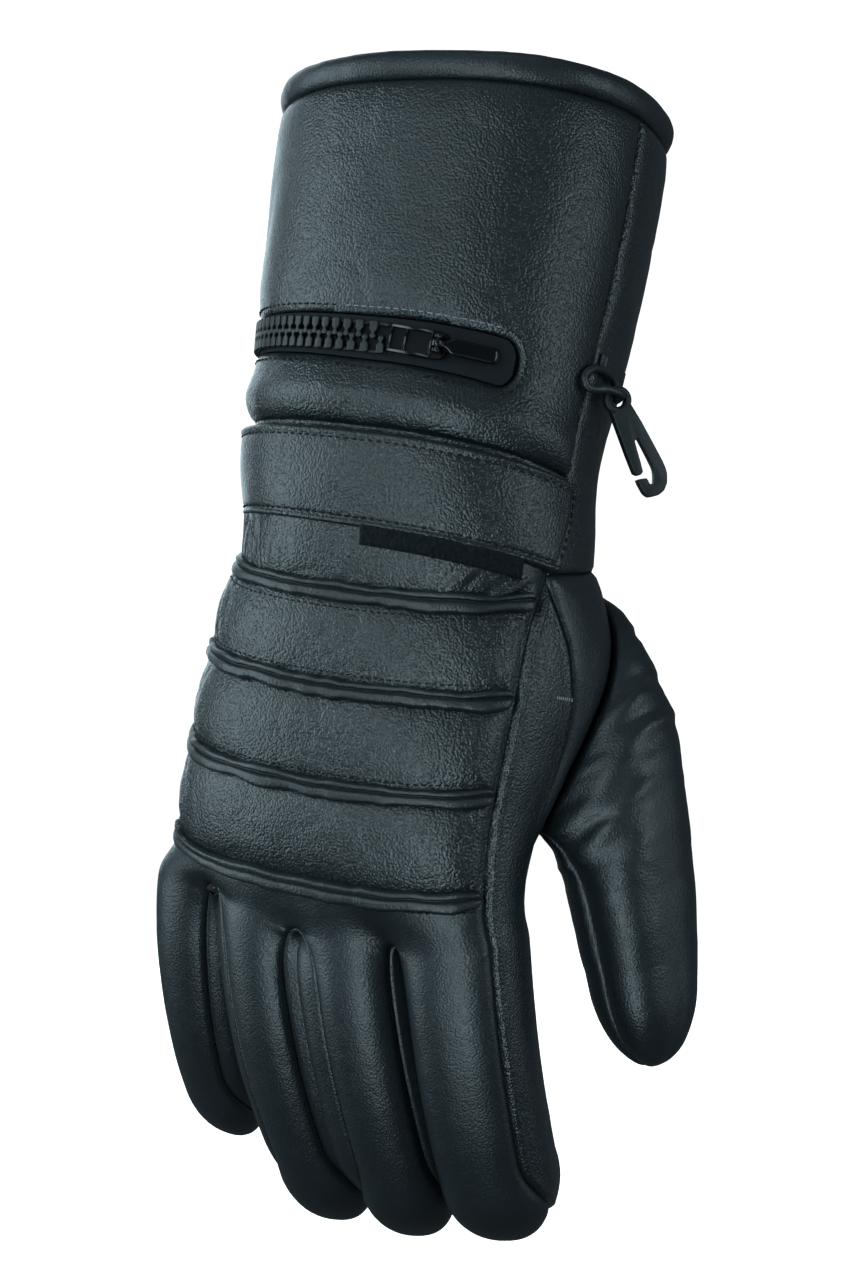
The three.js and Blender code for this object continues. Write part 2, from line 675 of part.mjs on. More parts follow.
// A flat outline made solid from one height to another, and a solid moved to a place by its three directions
const slab = (outline, low, high) => sweep([low, high].map((z) => ({
  point: new THREE.Vector3(0, 0, z), side: new THREE.Vector3(1, 0, 0), up: new THREE.Vector3(0, 1, 0),
})), outline);
const placed = (geometry, x, y, z, point) => geometry
  .applyMatrix4(new THREE.Matrix4().makeBasis(x, y, z).setPosition(point));

// Rim roll round the mouth
const rimSteps = 34;
const rimStations = count(0, 1, rimSteps).slice(0, rimSteps).map((u) => {
  const { point, out, up } = placeOn(u, 0);
  return { point: point.addScaledVector(out, lift + clearance - rimThickness / 2), side: up, up: out };
});
add('rim_binding', sweep(rimStations, ovalOutline(rimHeight, rimThickness, 8), true), binding);

// Double-ridged welts over the ribs; x in shares of weltWidth, y in shares of weltHeight
const weltOutline = [
  { x: -0.50, y: 0 }, { x: 0.50, y: 0 }, { x: 0.42, y: 0.80 }, { x: 0.19, y: 1 },
  { x: 0, y: 0.60 }, { x: -0.19, y: 1 }, { x: -0.42, y: 0.80 },
].map(({ x, y }) => [x * weltWidth, y * weltHeight]);
[0, 1, 2, 3].forEach((i) => {
  const columns = [i < 3 ? 0.3 : 1, ...steps(i < 3 ? 1 : 2, backColumns - 1), backColumns - 0.15];
  const stations = columns.map((column) => {
    const share = shareAt(backShares, backWidths, column);
    const v = ribRow(i, seamTurn * share);
    const { point, out, up } = placeOn(backTurn(share, v), v, weltLift);
    return { point, side: up, up: out };
  });
  add(`welt_${i + 1}`, sweep(stations, weltOutline), leather);
});

// Wrist strap and the strip of fastener showing under it
const turnShare = (u) => u / seamTurn;
const strapPoint = (u, down) => {
  const share = turnShare(u);
  const v = foldRow(u) + down / trunkLength;
  return trunk(backTurn(share, v), v);
};
const turnsBetween = ({ from, to }) => [from, ...steps(1, backColumns)
  .map((column) => seamTurn * shareAt(backShares, backWidths, column)).filter((u) => u > from + 0.005 && u < to - 0.005), to];
const strapRows = count(strapDrop, strapDrop + strapWidth, 4);
add('wrist_strap', wallFrom([gridOf(strapPoint, turnsBetween(strapTurns), strapRows)], {
  outer: strapLift + strapThickness, inner: -strapLift, trim: 0,
}), leather);
const patchDrop = strapDrop + strapWidth + clearance;
add('loop_patch', wallFrom([gridOf(strapPoint, turnsBetween(patchTurns), [patchDrop, patchDrop + patchHeight])], {
  outer: lift + patchThickness, inner: -lift, trim: 0,
}), fabric);

// Pocket zip: across counts from -1 at the window's upper edge to 1 at its lower edge
const zipRow = (u) => (zipDrop + zipSlant * u) / trunkLength;
const windowEnd = windowHeight / 2 / 330;
function windowHalf(u) {
  const half = (windowHeight + windowGrowth * (u / zipTurns.to)) / 2;
  return half * Math.sqrt(Math.max(1 - clamp((u - zipTurns.to) / windowEnd, 0, 1) ** 2, 0));
}
const windowPoint = (u, across) => trunk(u, zipRow(u) + across * windowHalf(u) / trunkLength);
const windowTurns = [...count(zipTurns.from, zipTurns.to, 9),
  ...[40, 90].map((angle) => zipTurns.to + windowEnd * Math.sin(radians(angle)))];
const windowNormal = (u) => normalOf(trunk, u, zipRow(u));
const windowGrid = gridOf(windowPoint, windowTurns, [-1, 1], { normal: windowNormal });
const windowPlug = wallFrom([windowGrid], { outer: 3, inner: wall + 3, trim: 0 });
const cuffBack = glove.getObjectByName('cuff_back');
cuffBack.geometry = cut(cuffBack.geometry, windowPlug);
add('zip_tape', wallFrom([windowGrid], {
  outer: -tapeRecess, inner: tapeRecess + tapeThickness, trim: clearance,
}), fabric);

// One side of the chain: teeth on a bar, each reaching just over the middle line
const barWidth = 1.2;
const chainFloor = clearance - tapeRecess;
const turnMillimetre = 1 / 330;
const chainEnd = sliderTurn - (sliderLength / 2 + 0.6) * turnMillimetre;
function toothRow(side) {
  const barMiddle = side * (chainWidth - barWidth) / 2;
  const at = (u, down) => placeOn(u, zipRow(u) + down / trunkLength, chainFloor);
  const bar = count(zipTurns.from + 0.006, chainEnd, 8).map((u) => {
    const { point, out, up } = at(u, barMiddle);
    return { point, side: up, up: out };
  });
  const barOutline = [[-0.5, 0], [0.5, 0], [0.5, 1], [-0.5, 1]].map(([x, y]) => [x * barWidth, y * toothHeight * 0.7]);
  const reach = chainWidth / 2 + 0.4 - barWidth / 2;
  const tooth = [[0, -0.34], [1, -0.5], [1, 0.5], [0, 0.34]].map(([x, y]) => [x * reach, y * toothWidth]);
  const first = zipTurns.from + 0.012 + (side > 0 ? toothPitch / 2 * turnMillimetre : 0);
  const teeth = [];
  for (let u = first; u < chainEnd - 0.003; u += toothPitch * turnMillimetre) {
    const { point, along, out, up } = at(u, barMiddle);
    const inward = up.clone().multiplyScalar(side);
    teeth.push(placed(slab(tooth, 0.1, toothHeight), inward, along.clone().multiplyScalar(-side), out, point));
  }
  return joined([sweep(bar, barOutline), ...teeth]);
}
add('zip_teeth_upper', toothRow(-1), plastic);
add('zip_teeth_lower', toothRow(1), plastic);

// Slider: x along the zip, y up the cuff, z outwards, from its own middle on the tape
const slider = placeOn(sliderTurn, zipRow(sliderTurn), chainFloor);
slider.along = trunk(sliderTurn + 0.01, zipRow(sliderTurn + 0.01)).sub(trunk(sliderTurn, zipRow(sliderTurn)));
slider.along.projectOnPlane(slider.out).normalize();
slider.up = slider.out.clone().cross(slider.along);
const pinPlace = { x: 0.40 * sliderLength, z: sliderHeight + pinDiameter / 2 + 1.45 };
const onSlider = (x, y, z) => slider.point.clone()
  .addScaledVector(slider.along, x).addScaledVector(slider.up, y).addScaledVector(slider.out, z);
const sliderOutline = [
  { x: -0.50, y: -0.42 }, { x: 0, y: -0.50 }, { x: 0.30, y: -0.48 }, { x: 0.46, y: -0.36 }, { x: 0.50, y: 0 },
  { x: 0.46, y: 0.36 }, { x: 0.30, y: 0.48 }, { x: 0, y: 0.50 }, { x: -0.50, y: 0.42 },
].map(({ x, y }) => [x * sliderLength, y * sliderWidth]);
const eyeWidth = 2.6;
const earInner = eyeWidth / 2 + clearance;
const earOutline = [[-1.7, -pinPlace.z + sliderHeight - 0.2], [1.2, -pinPlace.z + sliderHeight - 0.2], [1.15, 0.4],
  [0.6, 1.1], [-0.6, 1.1], [-1.15, 0.4]];
const acrossSlider = slider.up.clone().negate();
const ear = (from) => placed(
  slab(earOutline, from, from + earThickness), slider.along, slider.out, acrossSlider, onSlider(pinPlace.x, 0, pinPlace.z),
);
const rodOutline = (diameter, sides) => ovalOutline(diameter, diameter, sides);
const pin = placed(
  slab(rodOutline(pinDiameter, 10), -earInner - earThickness + 0.1, earInner + earThickness - 0.1),
  slider.along, slider.out, acrossSlider, onSlider(pinPlace.x, 0, pinPlace.z),
);
add('zip_slider', joined([
  placed(slab(sliderOutline, 0, sliderHeight), slider.along, slider.up, slider.out, slider.point.clone()),
  ear(earInner), ear(-earInner - earThickness), pin,
]), enamel);

// Zip pull, lying back from the slider's pin
const pullAlong = slider.along.clone().applyAxisAngle(acrossSlider, -radians(pullSlope));
const pullOut = pullAlong.clone().cross(slider.up);
const eyeHole = pinDiameter + 2 * clearance;
const pullOutline = [
  { x: 0.07, y: -0.27 }, { x: 0.23, y: -0.27 }, { x: 0.31, y: -0.5 }, { x: 0.94, y: -0.5 }, { x: 1, y: -0.3 },
  { x: 1, y: 0.3 }, { x: 0.94, y: 0.5 }, { x: 0.31, y: 0.5 }, { x: 0.23, y: 0.27 }, { x: 0.07, y: 0.27 },
].map(({ x, y }) => [x * pullLength, y * pullWidth]);
const pinPoint = onSlider(pinPlace.x, 0, pinPlace.z);
const acrossPin = (diameter, width) => placed(
  slab(rodOutline(diameter, 14), -width / 2, width / 2), pullAlong, pullOut, acrossSlider, pinPoint,
);
add('zip_pull', cut(joined([
  acrossPin(eyeHole + pullThickness, eyeWidth),
  placed(slab(pullOutline, -pullThickness / 2, pullThickness / 2), pullAlong, slider.up, pullOut, pinPoint),
]), acrossPin(eyeHole, eyeWidth + 2)), enamel);

// Hanging loop on the thumb side of the cuff: a tab, and a lace through the hook's eye. round, down and away are
// millimetres from the foot of the eye on the sleeve: towards the palm, down the sleeve and outwards.
const hookSide = new THREE.Vector3(Math.cos(radians(hookPlace.facing)), Math.sin(radians(hookPlace.facing)), 0);
const hookFront = new THREE.Vector3(Math.sin(radians(hookPlace.facing)), -Math.cos(radians(hookPlace.facing)), 0);
const eyePoint = placeOn(hookPlace.u, hookPlace.v, hookPlace.away).point;
const lacePath = [
  { round: 0, down: 0, away: hookPlace.away }, { round: -2.6, down: -1.0, away: 8.0 },
  { round: -7.6, down: -0.8, away: 6.2 }, { round: -12.6, down: 0.4, away: 3.3 }, { round: -15, down: -2.2, away: 2.0 },
  { round: -11.6, down: -5.4, away: 2.0 }, { round: -4.6, down: -6.4, away: 2.0 }, { round: 1.4, down: -5.6, away: 2.4 },
  { round: 2.9, down: -1.8, away: 3.5 },
].map(({ round, down, away }) => placeOn(
  hookPlace.u + round * turnMillimetre, hookPlace.v + down / trunkLength, away,
).point);
const laceCurve = new THREE.CatmullRomCurve3(lacePath, true);
const laceSteps = 24;
const laceFrames = laceCurve.computeFrenetFrames(laceSteps, true);
const lace = sweep(count(0, 1, laceSteps).slice(0, laceSteps).map((t, i) => ({
  point: laceCurve.getPointAt(t), side: laceFrames.normals[i], up: laceFrames.binormals[i],
})), rodOutline(laceDiameter, 7), true);
const tabRows = count(tab.v - tab.width / 2 / trunkLength, tab.v + tab.width / 2 / trunkLength, 1);
const tabSlab = wallFrom([gridOf(trunk, count(tab.u, tab.u + tab.turns, 4), tabRows)], {
  outer: lift + tab.thickness, inner: -lift, trim: 0,
});
add('hang_loop', joined([tabSlab, lace]), leather);

// Snap hook: outline in shares of its width and length from the middle of its eye
const hookOutline = [
  { x: 0.33, y: 0.04 }, { x: 0.545, y: 0.65 }, { x: 0.515, y: 0.733 }, { x: 0.395, y: 0.81 }, { x: 0.22, y: 0.857 },
  { x: 0.005, y: 0.873 }, { x: -0.30, y: 0.859 }, { x: -0.395, y: 0.813 }, { x: -0.445, y: 0.677 },
  { x: -0.12, y: 0.697 }, { x: -0.105, y: 0.76 }, { x: 0.03, y: 0.768 }, { x: 0.125, y: 0.71 }, { x: 0.185, y: 0.65 },
  { x: 0.11, y: 0.367 }, { x: -0.025, y: 0.361 }, { x: -0.15, y: 0.655 }, { x: -0.455, y: 0.65 },
  { x: -0.366, y: 0.14 }, { x: -0.33, y: 0.04 },
].map(({ x, y }) => [x * hookWidth, y * hookLength]);
const swing = radians(hookPlace.swing);
const worldUp = new THREE.Vector3(0, 0, 1);
const hookAcross = hookSide.clone().multiplyScalar(Math.cos(swing)).addScaledVector(worldUp, Math.sin(swing));
const hookDown = hookSide.clone().multiplyScalar(Math.sin(swing)).addScaledVector(worldUp, -Math.cos(swing));
const hookBack = hookFront.clone().negate();
const hookSlab = (outline, depth) => placed(slab(outline, -depth / 2, depth / 2), hookAcross, hookDown, hookBack, eyePoint);
add('snap_hook', cut(joined([
  hookSlab(rodOutline(0.87 * hookWidth, 18), hookThickness), hookSlab(hookOutline, hookThickness),
]), hookSlab(rodOutline(hookEye, 14), hookThickness + 2)), plastic);

export default glove;
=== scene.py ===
# %% [markdown]
# # Sewing a riding gauntlet from numbers
# The glove is one long sleeve with four curled fingers and a thumb growing out of it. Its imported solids
# are the fixed frame: they give every piece its place and its size. Round them this lesson makes the
# leather that is seen, panel by panel, as a real glove is cut and sewn. A sculpted mesh would be quicker
# to look at and impossible to change, so each panel is a surface of two parameters instead: one runs
# round the hand and one runs down it.

# %% The frame that everything is fitted to
import bpy
import numpy as np
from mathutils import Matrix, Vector


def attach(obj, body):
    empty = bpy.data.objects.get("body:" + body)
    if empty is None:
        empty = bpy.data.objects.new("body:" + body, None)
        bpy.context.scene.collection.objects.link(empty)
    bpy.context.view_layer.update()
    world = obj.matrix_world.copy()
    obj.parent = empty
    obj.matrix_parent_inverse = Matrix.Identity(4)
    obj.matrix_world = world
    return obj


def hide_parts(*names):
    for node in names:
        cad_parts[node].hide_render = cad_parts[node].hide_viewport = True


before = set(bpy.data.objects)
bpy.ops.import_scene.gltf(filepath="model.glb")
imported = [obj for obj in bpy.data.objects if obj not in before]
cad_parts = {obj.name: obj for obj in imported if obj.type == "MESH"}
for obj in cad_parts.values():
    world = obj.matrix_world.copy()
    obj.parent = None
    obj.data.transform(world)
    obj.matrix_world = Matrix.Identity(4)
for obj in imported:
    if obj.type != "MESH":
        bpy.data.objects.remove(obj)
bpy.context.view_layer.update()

# %% [markdown]
# ## Tables and smooth curves
# A pattern maker keeps a table of girths, one row for each station down the arm, and draws a fair curve
# through them. Blender could loft such rows with a curve object, but a formula can be asked for any
# point, which the seams, stitches and welts all need later. So the tables are read with a cubic that
# passes through every row.


# %% Tables of sizes, in millimetres and degrees
def table(columns, *rows):
    """Names the columns of a table, so that each becomes one array."""
    return {name: np.array(column, float) for name, column in zip(columns.split(), zip(*rows))}


def read_table(rows, at):
    """Cubic through the rows: at each row the curve has the slope of the line between the rows
    on either side."""
    at = np.asarray(at, float)
    key = rows["at"]
    i = np.clip(np.searchsorted(key, at, side="right") - 1, 0, len(key) - 2)
    before, after = np.maximum(i - 1, 0), np.minimum(i + 2, len(key) - 1)
    span = key[i + 1] - key[i]
    t = (at - key[i]) / span
    found = {}
    for name, column in rows.items():
        slope_from = (column[i + 1] - column[before]) / (key[i + 1] - key[before]) * span
        slope_to = (column[after] - column[i]) / (key[after] - key[i]) * span
        found[name] = ((2 * t**3 - 3 * t**2 + 1) * column[i] + (t**3 - 2 * t**2 + t) * slope_from
                       + (3 * t**2 - 2 * t**3) * column[i + 1] + (t**3 - t**2) * slope_to)
    return found


def lerp(a, b, t):
    """A point the share t of the way from a to b."""
    return a + (b - a) * t


def ease(x):
    """Goes from 0 to 1 with a level start and a level end."""
    x = np.clip(x, 0, 1)
    return x * x * (3 - 2 * x)


def bell(x, middle=0.0, reach=1.0):
    """Bell curve: 1 at the middle, and about a third of that one reach away from it."""
    return np.exp(-((x - middle) / reach) ** 2)


def bulge(x, least=0.0):
    """Quarter circle: leaves 0 steeply and levels off at 1."""
    return np.sqrt(np.clip(1 - (1 - np.clip(x, 0, 1)) ** 2, least, 1))


def squarer(wave, power):
    """The wave with its size raised to a power and its sign kept: below 1 it turns a circle
    into an oblong."""
    return np.sign(wave) * np.abs(wave) ** power


def turns_of(count):
    """Angles evenly spaced round a full circle."""
    return np.linspace(0, 2 * np.pi, count, endpoint=False)


def oval(angle, wide, tall):
    """Points of an oval in a plane, from its two half sizes."""
    return np.stack([wide * np.cos(angle), tall * np.sin(angle)], -1)


def vectors(x, y, z):
    """Three arrays of coordinates as one array of points."""
    return np.stack(np.broadcast_arrays(x, y, z), -1)


def unit(v):
    """Vectors at length one."""
    return v / np.maximum(np.linalg.norm(v, axis=-1, keepdims=True), 1e-12)


WALL, LIFT = 2.4, 0.5
TRUNK = 244.0
CUFF, WRIST, HAND = (120.0, 92.0), (100.0, 72.0), (112.0, 66.0)
FOLD_DROP, FOLD_SLANT = 99.0, 22.0
FIRST_RIB, RIB_PITCH, RIB_GROWTH, RIB_ARCH, WRIST_ABOVE_RIB = 149.0, 25.8, 1.3, 134.0, 7.5
RIM_HEIGHT, RIM_THICKNESS = 9.4, 7.0


def sleeve_row(girth, at, drift, set_, half, dorsal, palmar, tilt, lean, twist, square):
    """A row of the sleeve's table, with its shares turned into millimetres."""
    return (at, drift * HAND[0], set_ * CUFF[1], half * girth[0], dorsal * girth[1], palmar * girth[1],
            tilt, lean, twist, square)


SLEEVE = table(
    "at drift set half dorsal palmar tilt lean twist square",
    sleeve_row(CUFF, 0.000, 0.004, 0.000, 0.497, 0.500, 0.500, 15, 2, 0, 2.3),
    sleeve_row(CUFF, 0.156, -0.009, 0.109, 0.483, 0.489, 0.489, 15, 2, 0, 2.3),
    sleeve_row(CUFF, 0.311, -0.036, 0.217, 0.458, 0.467, 0.467, 14, 3, 0, 2.3),
    sleeve_row(CUFF, 0.426, -0.054, 0.293, 0.433, 0.435, 0.435, 12, 4, 0, 2.3),
    sleeve_row(WRIST, 0.541, -0.062, 0.348, 0.500, 0.500, 0.500, 9, 5, 0, 2.3),
    sleeve_row(HAND, 0.623, -0.090, 0.370, 0.482, 0.515, 0.515, 6, 7, -2, 2.3),
    sleeve_row(HAND, 0.746, -0.143, 0.402, 0.500, 0.500, 0.470, 3, 8, -5, 2.4),
    sleeve_row(HAND, 0.869, -0.196, 0.424, 0.509, 0.445, 0.360, 0, 8, -8, 2.4),
    sleeve_row(HAND, 1.000, -0.241, 0.435, 0.522, 0.310, 0.215, -3, 8, -10, 2.4),
)
MOUND = {"u": 0.60, "v": 0.660, "reach_u": 0.11, "reach_v": 0.135, "rise": 13.0}
print("rows in the sleeve's table:", len(SLEEVE["at"]))

# %% [markdown]
# ## The sleeve and the fingers as surfaces
# From mouth to knuckles the glove is a tube whose section is a rounded oblong, a little fuller than an
# ellipse. A superellipse gives that with one exponent. Each finger is the same section carried along an
# arc, because a relaxed finger bends evenly. Lofting circles by hand would work too, but here one formula
# serves all ten thousand points.


# %% Sections carried down the sleeve and along the fingers
def rounded(u, half, front, back, square):
    """Superellipse: cosine and sine of the turn u, each raised to 2 / square, times the half
    width and depth."""
    c, s = -np.cos(u * 2 * np.pi), -np.sin(u * 2 * np.pi)
    depth = np.where(s < 0, front, back)
    return half * squarer(c, 2 / square), depth * squarer(s, 2 / square)


def sleeve(u, v):
    """Section u turns round, v of the way down: the oblong, swollen under the thumb, twisted,
    leant and tilted."""
    u, v = np.broadcast_arrays(np.asarray(u, float), np.asarray(v, float))
    row = read_table(SLEEVE, v)
    x, y = rounded(u, row["half"], row["dorsal"], row["palmar"], row["square"])
    near = ((u - MOUND["u"]) / MOUND["reach_u"]) ** 2 + ((v - MOUND["v"]) / MOUND["reach_v"]) ** 2
    swell = 1 + MOUND["rise"] * np.exp(-near) / np.hypot(x, y)
    twist, lean, tilt = (np.radians(row[name]) for name in ("twist", "lean", "tilt"))
    across = swell * (x * np.cos(twist) - y * np.sin(twist))
    deep = swell * (x * np.sin(twist) + y * np.cos(twist))
    return vectors(row["drift"] + across * np.cos(lean), -row["set"] + deep * np.cos(tilt),
                   -v * TRUNK - across * np.sin(lean) - deep * np.sin(tilt))


def outward(surface, a, b, step=1e-3):
    """Outward direction: the cross product of the steps down and round the surface."""
    a, b = np.broadcast_arrays(np.asarray(a, float), np.asarray(b, float))
    around = surface(a + step, b) - surface(a - step, b)
    down = surface(a, b + step) - surface(a, b - step)
    return unit(np.cross(down, around))


def digit(length, width, depth, taper, x, y, drop, twist, splay, root, bend):
    """A finger's sizes with its root's place and the three directions that its arc is drawn in."""
    twist, splay = np.radians(twist), np.radians(splay)
    level = np.array([np.cos(twist), np.sin(twist), 0])
    up = np.array([0, 0, 1.0])
    return {
        "length": length, "width": width, "depth": depth, "taper": taper, "drop": drop, "splay": splay,
        "root": np.radians(root), "change": np.radians(bend - root),
        "origin": np.array([x, y, -drop * TRUNK]),
        "palmward": np.array([-np.sin(twist), np.cos(twist), 0]),
        "down": level * np.sin(splay) - up * np.cos(splay),
        "aside": level * np.cos(splay) + up * np.sin(splay),
    }


FINGERS_TABLE = table(
    "length width depth taper beside set drop twist splay root bend",
    (125, 28.8, 29, 0.16, 0, 0.470, 0.820, -14, -12, -2, 44),
    (138, 29.2, 31, 0.10, -7.5, 0.606, 0.857, -10, -1, -4, 46),
    (133, 29.8, 32, 0.08, -0.5, 0.667, 0.881, -2, 2, -4, 44),
    (130, 33.8, 34, 0.10, 3.0, 0.685, 0.881, 4, 2.4, -4, 40),
)
MIDDLE_ACROSS = -0.179 * HAND[0]


def place_fingers(t):
    """Sets each finger's root beside its neighbour's, from the middle finger outwards."""
    x = np.zeros(4)
    x[2] = MIDDLE_ACROSS
    x[3] = x[2] + (t["width"][2] + t["width"][3]) / 2 + t["beside"][3]
    x[1] = x[2] - (t["width"][2] + t["width"][1]) / 2 - t["beside"][2]
    x[0] = x[1] - (t["width"][1] + t["width"][0]) / 2 - t["beside"][1]
    return [digit(t["length"][i], t["width"][i], t["depth"][i], t["taper"][i], x[i], -t["set"][i] * HAND[1],
                  t["drop"][i], t["twist"][i], t["splay"][i], t["root"][i], t["bend"][i]) for i in range(4)]


FINGERS = place_fingers(FINGERS_TABLE)
# Worn leather fills the gaps between the fingers, so three of them are a little wider here than their
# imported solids, and the index finger stands nearer to the middle one: number, added width and sideways
# shift in mm.
FULLER_FINGERS = ((1, 2.7, 0.0), (2, 2.5, 0.0), (3, 3.4, -1.7))
for i, wider, shift in FULLER_FINGERS:
    FINGERS[i]["width"] += wider
    FINGERS[i]["origin"] = FINGERS[i]["origin"] + shift * FINGERS[i]["aside"]
THUMB = digit(138, 42, 40, 0.42, 0.34 * HAND[0], -0.24 * HAND[1], 0.615, 60, 7.5, -14, 2)
TIP = 0.17


def tube(finger, u, s):
    """Finger: an arc that turns evenly, with the section drawn square to it and closed like an
    ellipse at the tip."""
    u, s = np.broadcast_arrays(np.asarray(u, float), np.asarray(s, float))
    start, change, length = finger["root"], finger["change"], finger["length"]
    angle = start + change * s
    along = length * (np.sin(angle) - np.sin(start)) / change
    over = length * (np.cos(start) - np.cos(angle)) / change
    closing = np.sqrt(np.maximum(1 - np.maximum((s - 1 + TIP) / TIP, 0) ** 2, 0))
    size = closing * (1 - finger["taper"] * np.clip(s, 0, 1) ** 2) / 2
    x, y = rounded(u, finger["width"] * size, finger["depth"] * size, finger["depth"] * size, 2.4)
    return (finger["origin"] + finger["down"] * (along - y * np.sin(angle))[..., None]
            + finger["palmward"] * (over + y * np.cos(angle))[..., None] + finger["aside"] * x[..., None])


def station_at(finger, z):
    """How far along a finger a height lies, if the finger were straight."""
    return (-z - finger["drop"] * TRUNK) / (finger["length"] * np.cos(finger["splay"]))


print("finger roots, mm:", [np.round(f["origin"]).astype(int).tolist() for f in FINGERS])

# %% [markdown]
# ## Where the seams run
# A glove's character is in its seams. Across the back they are nearly level, arched over the hand; down
# the thumb side one seam carries the back and a strip is let in beside it. The rows are given as shares
# of the sleeve, and one counter, `step`, walks down them, so that neighbouring panels meet at the very
# same points.

# %% Rows across and seams down
SEAM = 0.468
CROTCH_ROUND = 14.0
YOKE_ROWS, EARLY_ROWS, TUBE_ROWS = 3, 3, 6
ROUND_ROWS, TIP_ROWS = (0, 18, 38, 62, 90), (0, 20, 40, 60, 75, 90)
CROTCH_STEP = YOKE_ROWS
TUBE_STEP = CROTCH_STEP + len(ROUND_ROWS) - 1
TIP_STEP = TUBE_STEP + TUBE_ROWS
LAST_STEP = TIP_STEP + len(TIP_ROWS) - 1
POINT_STEP = TIP_STEP + 3


def rib_row(i, u):
    """Rib i: its drop grows by a little more at each rib, and it arches up to both sides."""
    arch = -RIB_ARCH * np.clip(u - 0.28, -0.28, 0.28) ** 2
    return (FIRST_RIB + i * RIB_PITCH + i * (i - 1) / 2 * RIB_GROWTH + arch) / TRUNK


def fold_row(u):
    """The cuff's lower edge, slanting down to the thumb side and back up over the palm."""
    return (FOLD_DROP + FOLD_SLANT * np.where(u < SEAM, u, SEAM * (1 - u) / (1 - SEAM))) / TRUNK


ROW_LINES = [lambda u: np.full_like(u, (RIM_HEIGHT / 2 + 0.15) / TRUNK), fold_row,
             lambda u: rib_row(0, u) - WRIST_ABOVE_RIB / TRUNK,
             *[lambda u, i=i: rib_row(i, u) for i in range(4)]]
ROW_STEPS = np.cumsum([0, 6, 2, 1, 3, 3, 3])
RIM_STEP, FOLD_STEP, WRIST_STEP, *RIB_STEPS = ROW_STEPS.tolist()


def row_at(step, u):
    """The row at a count of steps: straight between the two lines on either side."""
    lines = np.stack([line(u) for line in ROW_LINES])
    i = np.clip(np.searchsorted(ROW_STEPS, step, side="right") - 1, 0, len(ROW_LINES) - 2)
    t = (step - ROW_STEPS[i]) / (ROW_STEPS[i + 1] - ROW_STEPS[i])
    pick = lambda k: np.take_along_axis(lines, k[None], 0)[0]
    return lerp(pick(i), pick(i + 1), t)


SEAMS = table("at back strip", (0.00, 0.468, 0), (0.46, 0.468, 0), (0.53, 0.458, 0), (0.565, 0.446, 0),
              (0.60, 0.430, 0.033), (0.64, 0.422, 0.062), (0.72, 0.425, 0.082), (0.82, 0.430, 0.090),
              (0.93, 0.437, 0.110), (1.02, 0.437, 0.130))
BACK_SHARES, PALM_SHARES = (0, 0.339, 0.532, 0.689, 1), (0, 0.373, 0.516, 0.692, 1)


def seam_at(v):
    """The back panel's edge and the palm's edge, in turns, at a row."""
    row = read_table(SEAMS, v)
    return row["back"], row["back"] + np.maximum(row["strip"], 0)


def back_turn(share, v):
    """The turn of the sleeve at a share of the back panel's width."""
    return share * seam_at(v)[0]


def palm_turn(share, v):
    """The turn of the sleeve at a share of the palm's width."""
    return lerp(seam_at(v)[1], 1.0, share)


BACK_EDGES = ((0.355, 0.355), (0.355, 0.355), (0.355, 0.395), (0.435, 0.355))


def edge_at(s, start=0.355):
    """Where a panel ends round a finger's tube: the side pieces narrow to a point towards the tip."""
    point = 1 - TIP + TIP * np.sin(np.radians(60))
    return lerp(start, 0.5, ease((s - 0.74) / (point - 0.74)))


def finger_row(finger, crotch, step):
    """Station along the finger, and the crotch's pull: 1 above it, then falling as a quarter circle."""
    angle = np.radians(np.interp(step - CROTCH_STEP, range(len(ROUND_ROWS)), ROUND_ROWS))
    round_end = crotch + CROTCH_ROUND / finger["length"]
    tip = 1 - TIP * (1 - np.sin(np.radians(np.interp(step - TIP_STEP, range(len(TIP_ROWS)), TIP_ROWS))))
    station = np.where(step <= TUBE_STEP, crotch + CROTCH_ROUND * (1 - np.cos(angle)) / finger["length"],
                       lerp(round_end, 1 - TIP, (step - TUBE_STEP) / TUBE_ROWS))
    return np.where(step <= TIP_STEP, station, tip), np.where(step <= CROTCH_STEP, 1, 1 - np.sin(angle))


CROTCH_DROPS = (0.943, 0.996, 1.016)
for i, finger in enumerate(FINGERS):
    beside = CROTCH_DROPS[max(i - 1, 0)], CROTCH_DROPS[min(i, 2)]
    finger["crotches"] = [station_at(finger, -drop * TRUNK) for drop in beside]


def back_face(i):
    """Back of finger i: its share of the back panel, then the outer side of its tube."""
    share = lambda across: lerp(BACK_SHARES[i], BACK_SHARES[i + 1], across)
    return {"row_turn": lambda across: SEAM * share(across),
            "sleeve": lambda across, v: back_turn(share(across), v),
            "early": lambda across: 0 * across,
            "tube": lambda s: (0 * s if i == 0 else 0.5 - edge_at(s, BACK_EDGES[i][0]),
                               edge_at(s, BACK_EDGES[i][1]))}


def front_face(i):
    """Front of finger i: its share of the palm, then the inner side of its tube."""
    share = lambda across: lerp(PALM_SHARES[4 - i], PALM_SHARES[3 - i], across)
    return {"row_turn": lambda across: lerp(SEAM, 1.0, share(across)),
            "sleeve": lambda across, v: palm_turn(share(across), v),
            "early": lambda across: ease(2 * across) if i == 0 else 1 + 0 * across,
            "tube": lambda s: (1 + 0 * s if i == 0 else 0.5 + edge_at(s), 1 - edge_at(s))}


THUMB_SIDE = {"row_turn": lambda across: SEAM + 0 * across, "early": lambda across: across, "crotch": 1.0,
              "sleeve": lambda across, v: lerp(*seam_at(v), across),
              "tube": lambda s: (edge_at(s), 1 - edge_at(s))}


def hand_row(step, row_turn):
    """Rows from the third rib through the last one down to the crotches."""
    rib = rib_row(3, row_turn)
    return np.where(step < 0, lerp(rib, rib_row(2, row_turn), -step / EARLY_ROWS),
                    lerp(rib, 1.0, step / YOKE_ROWS))


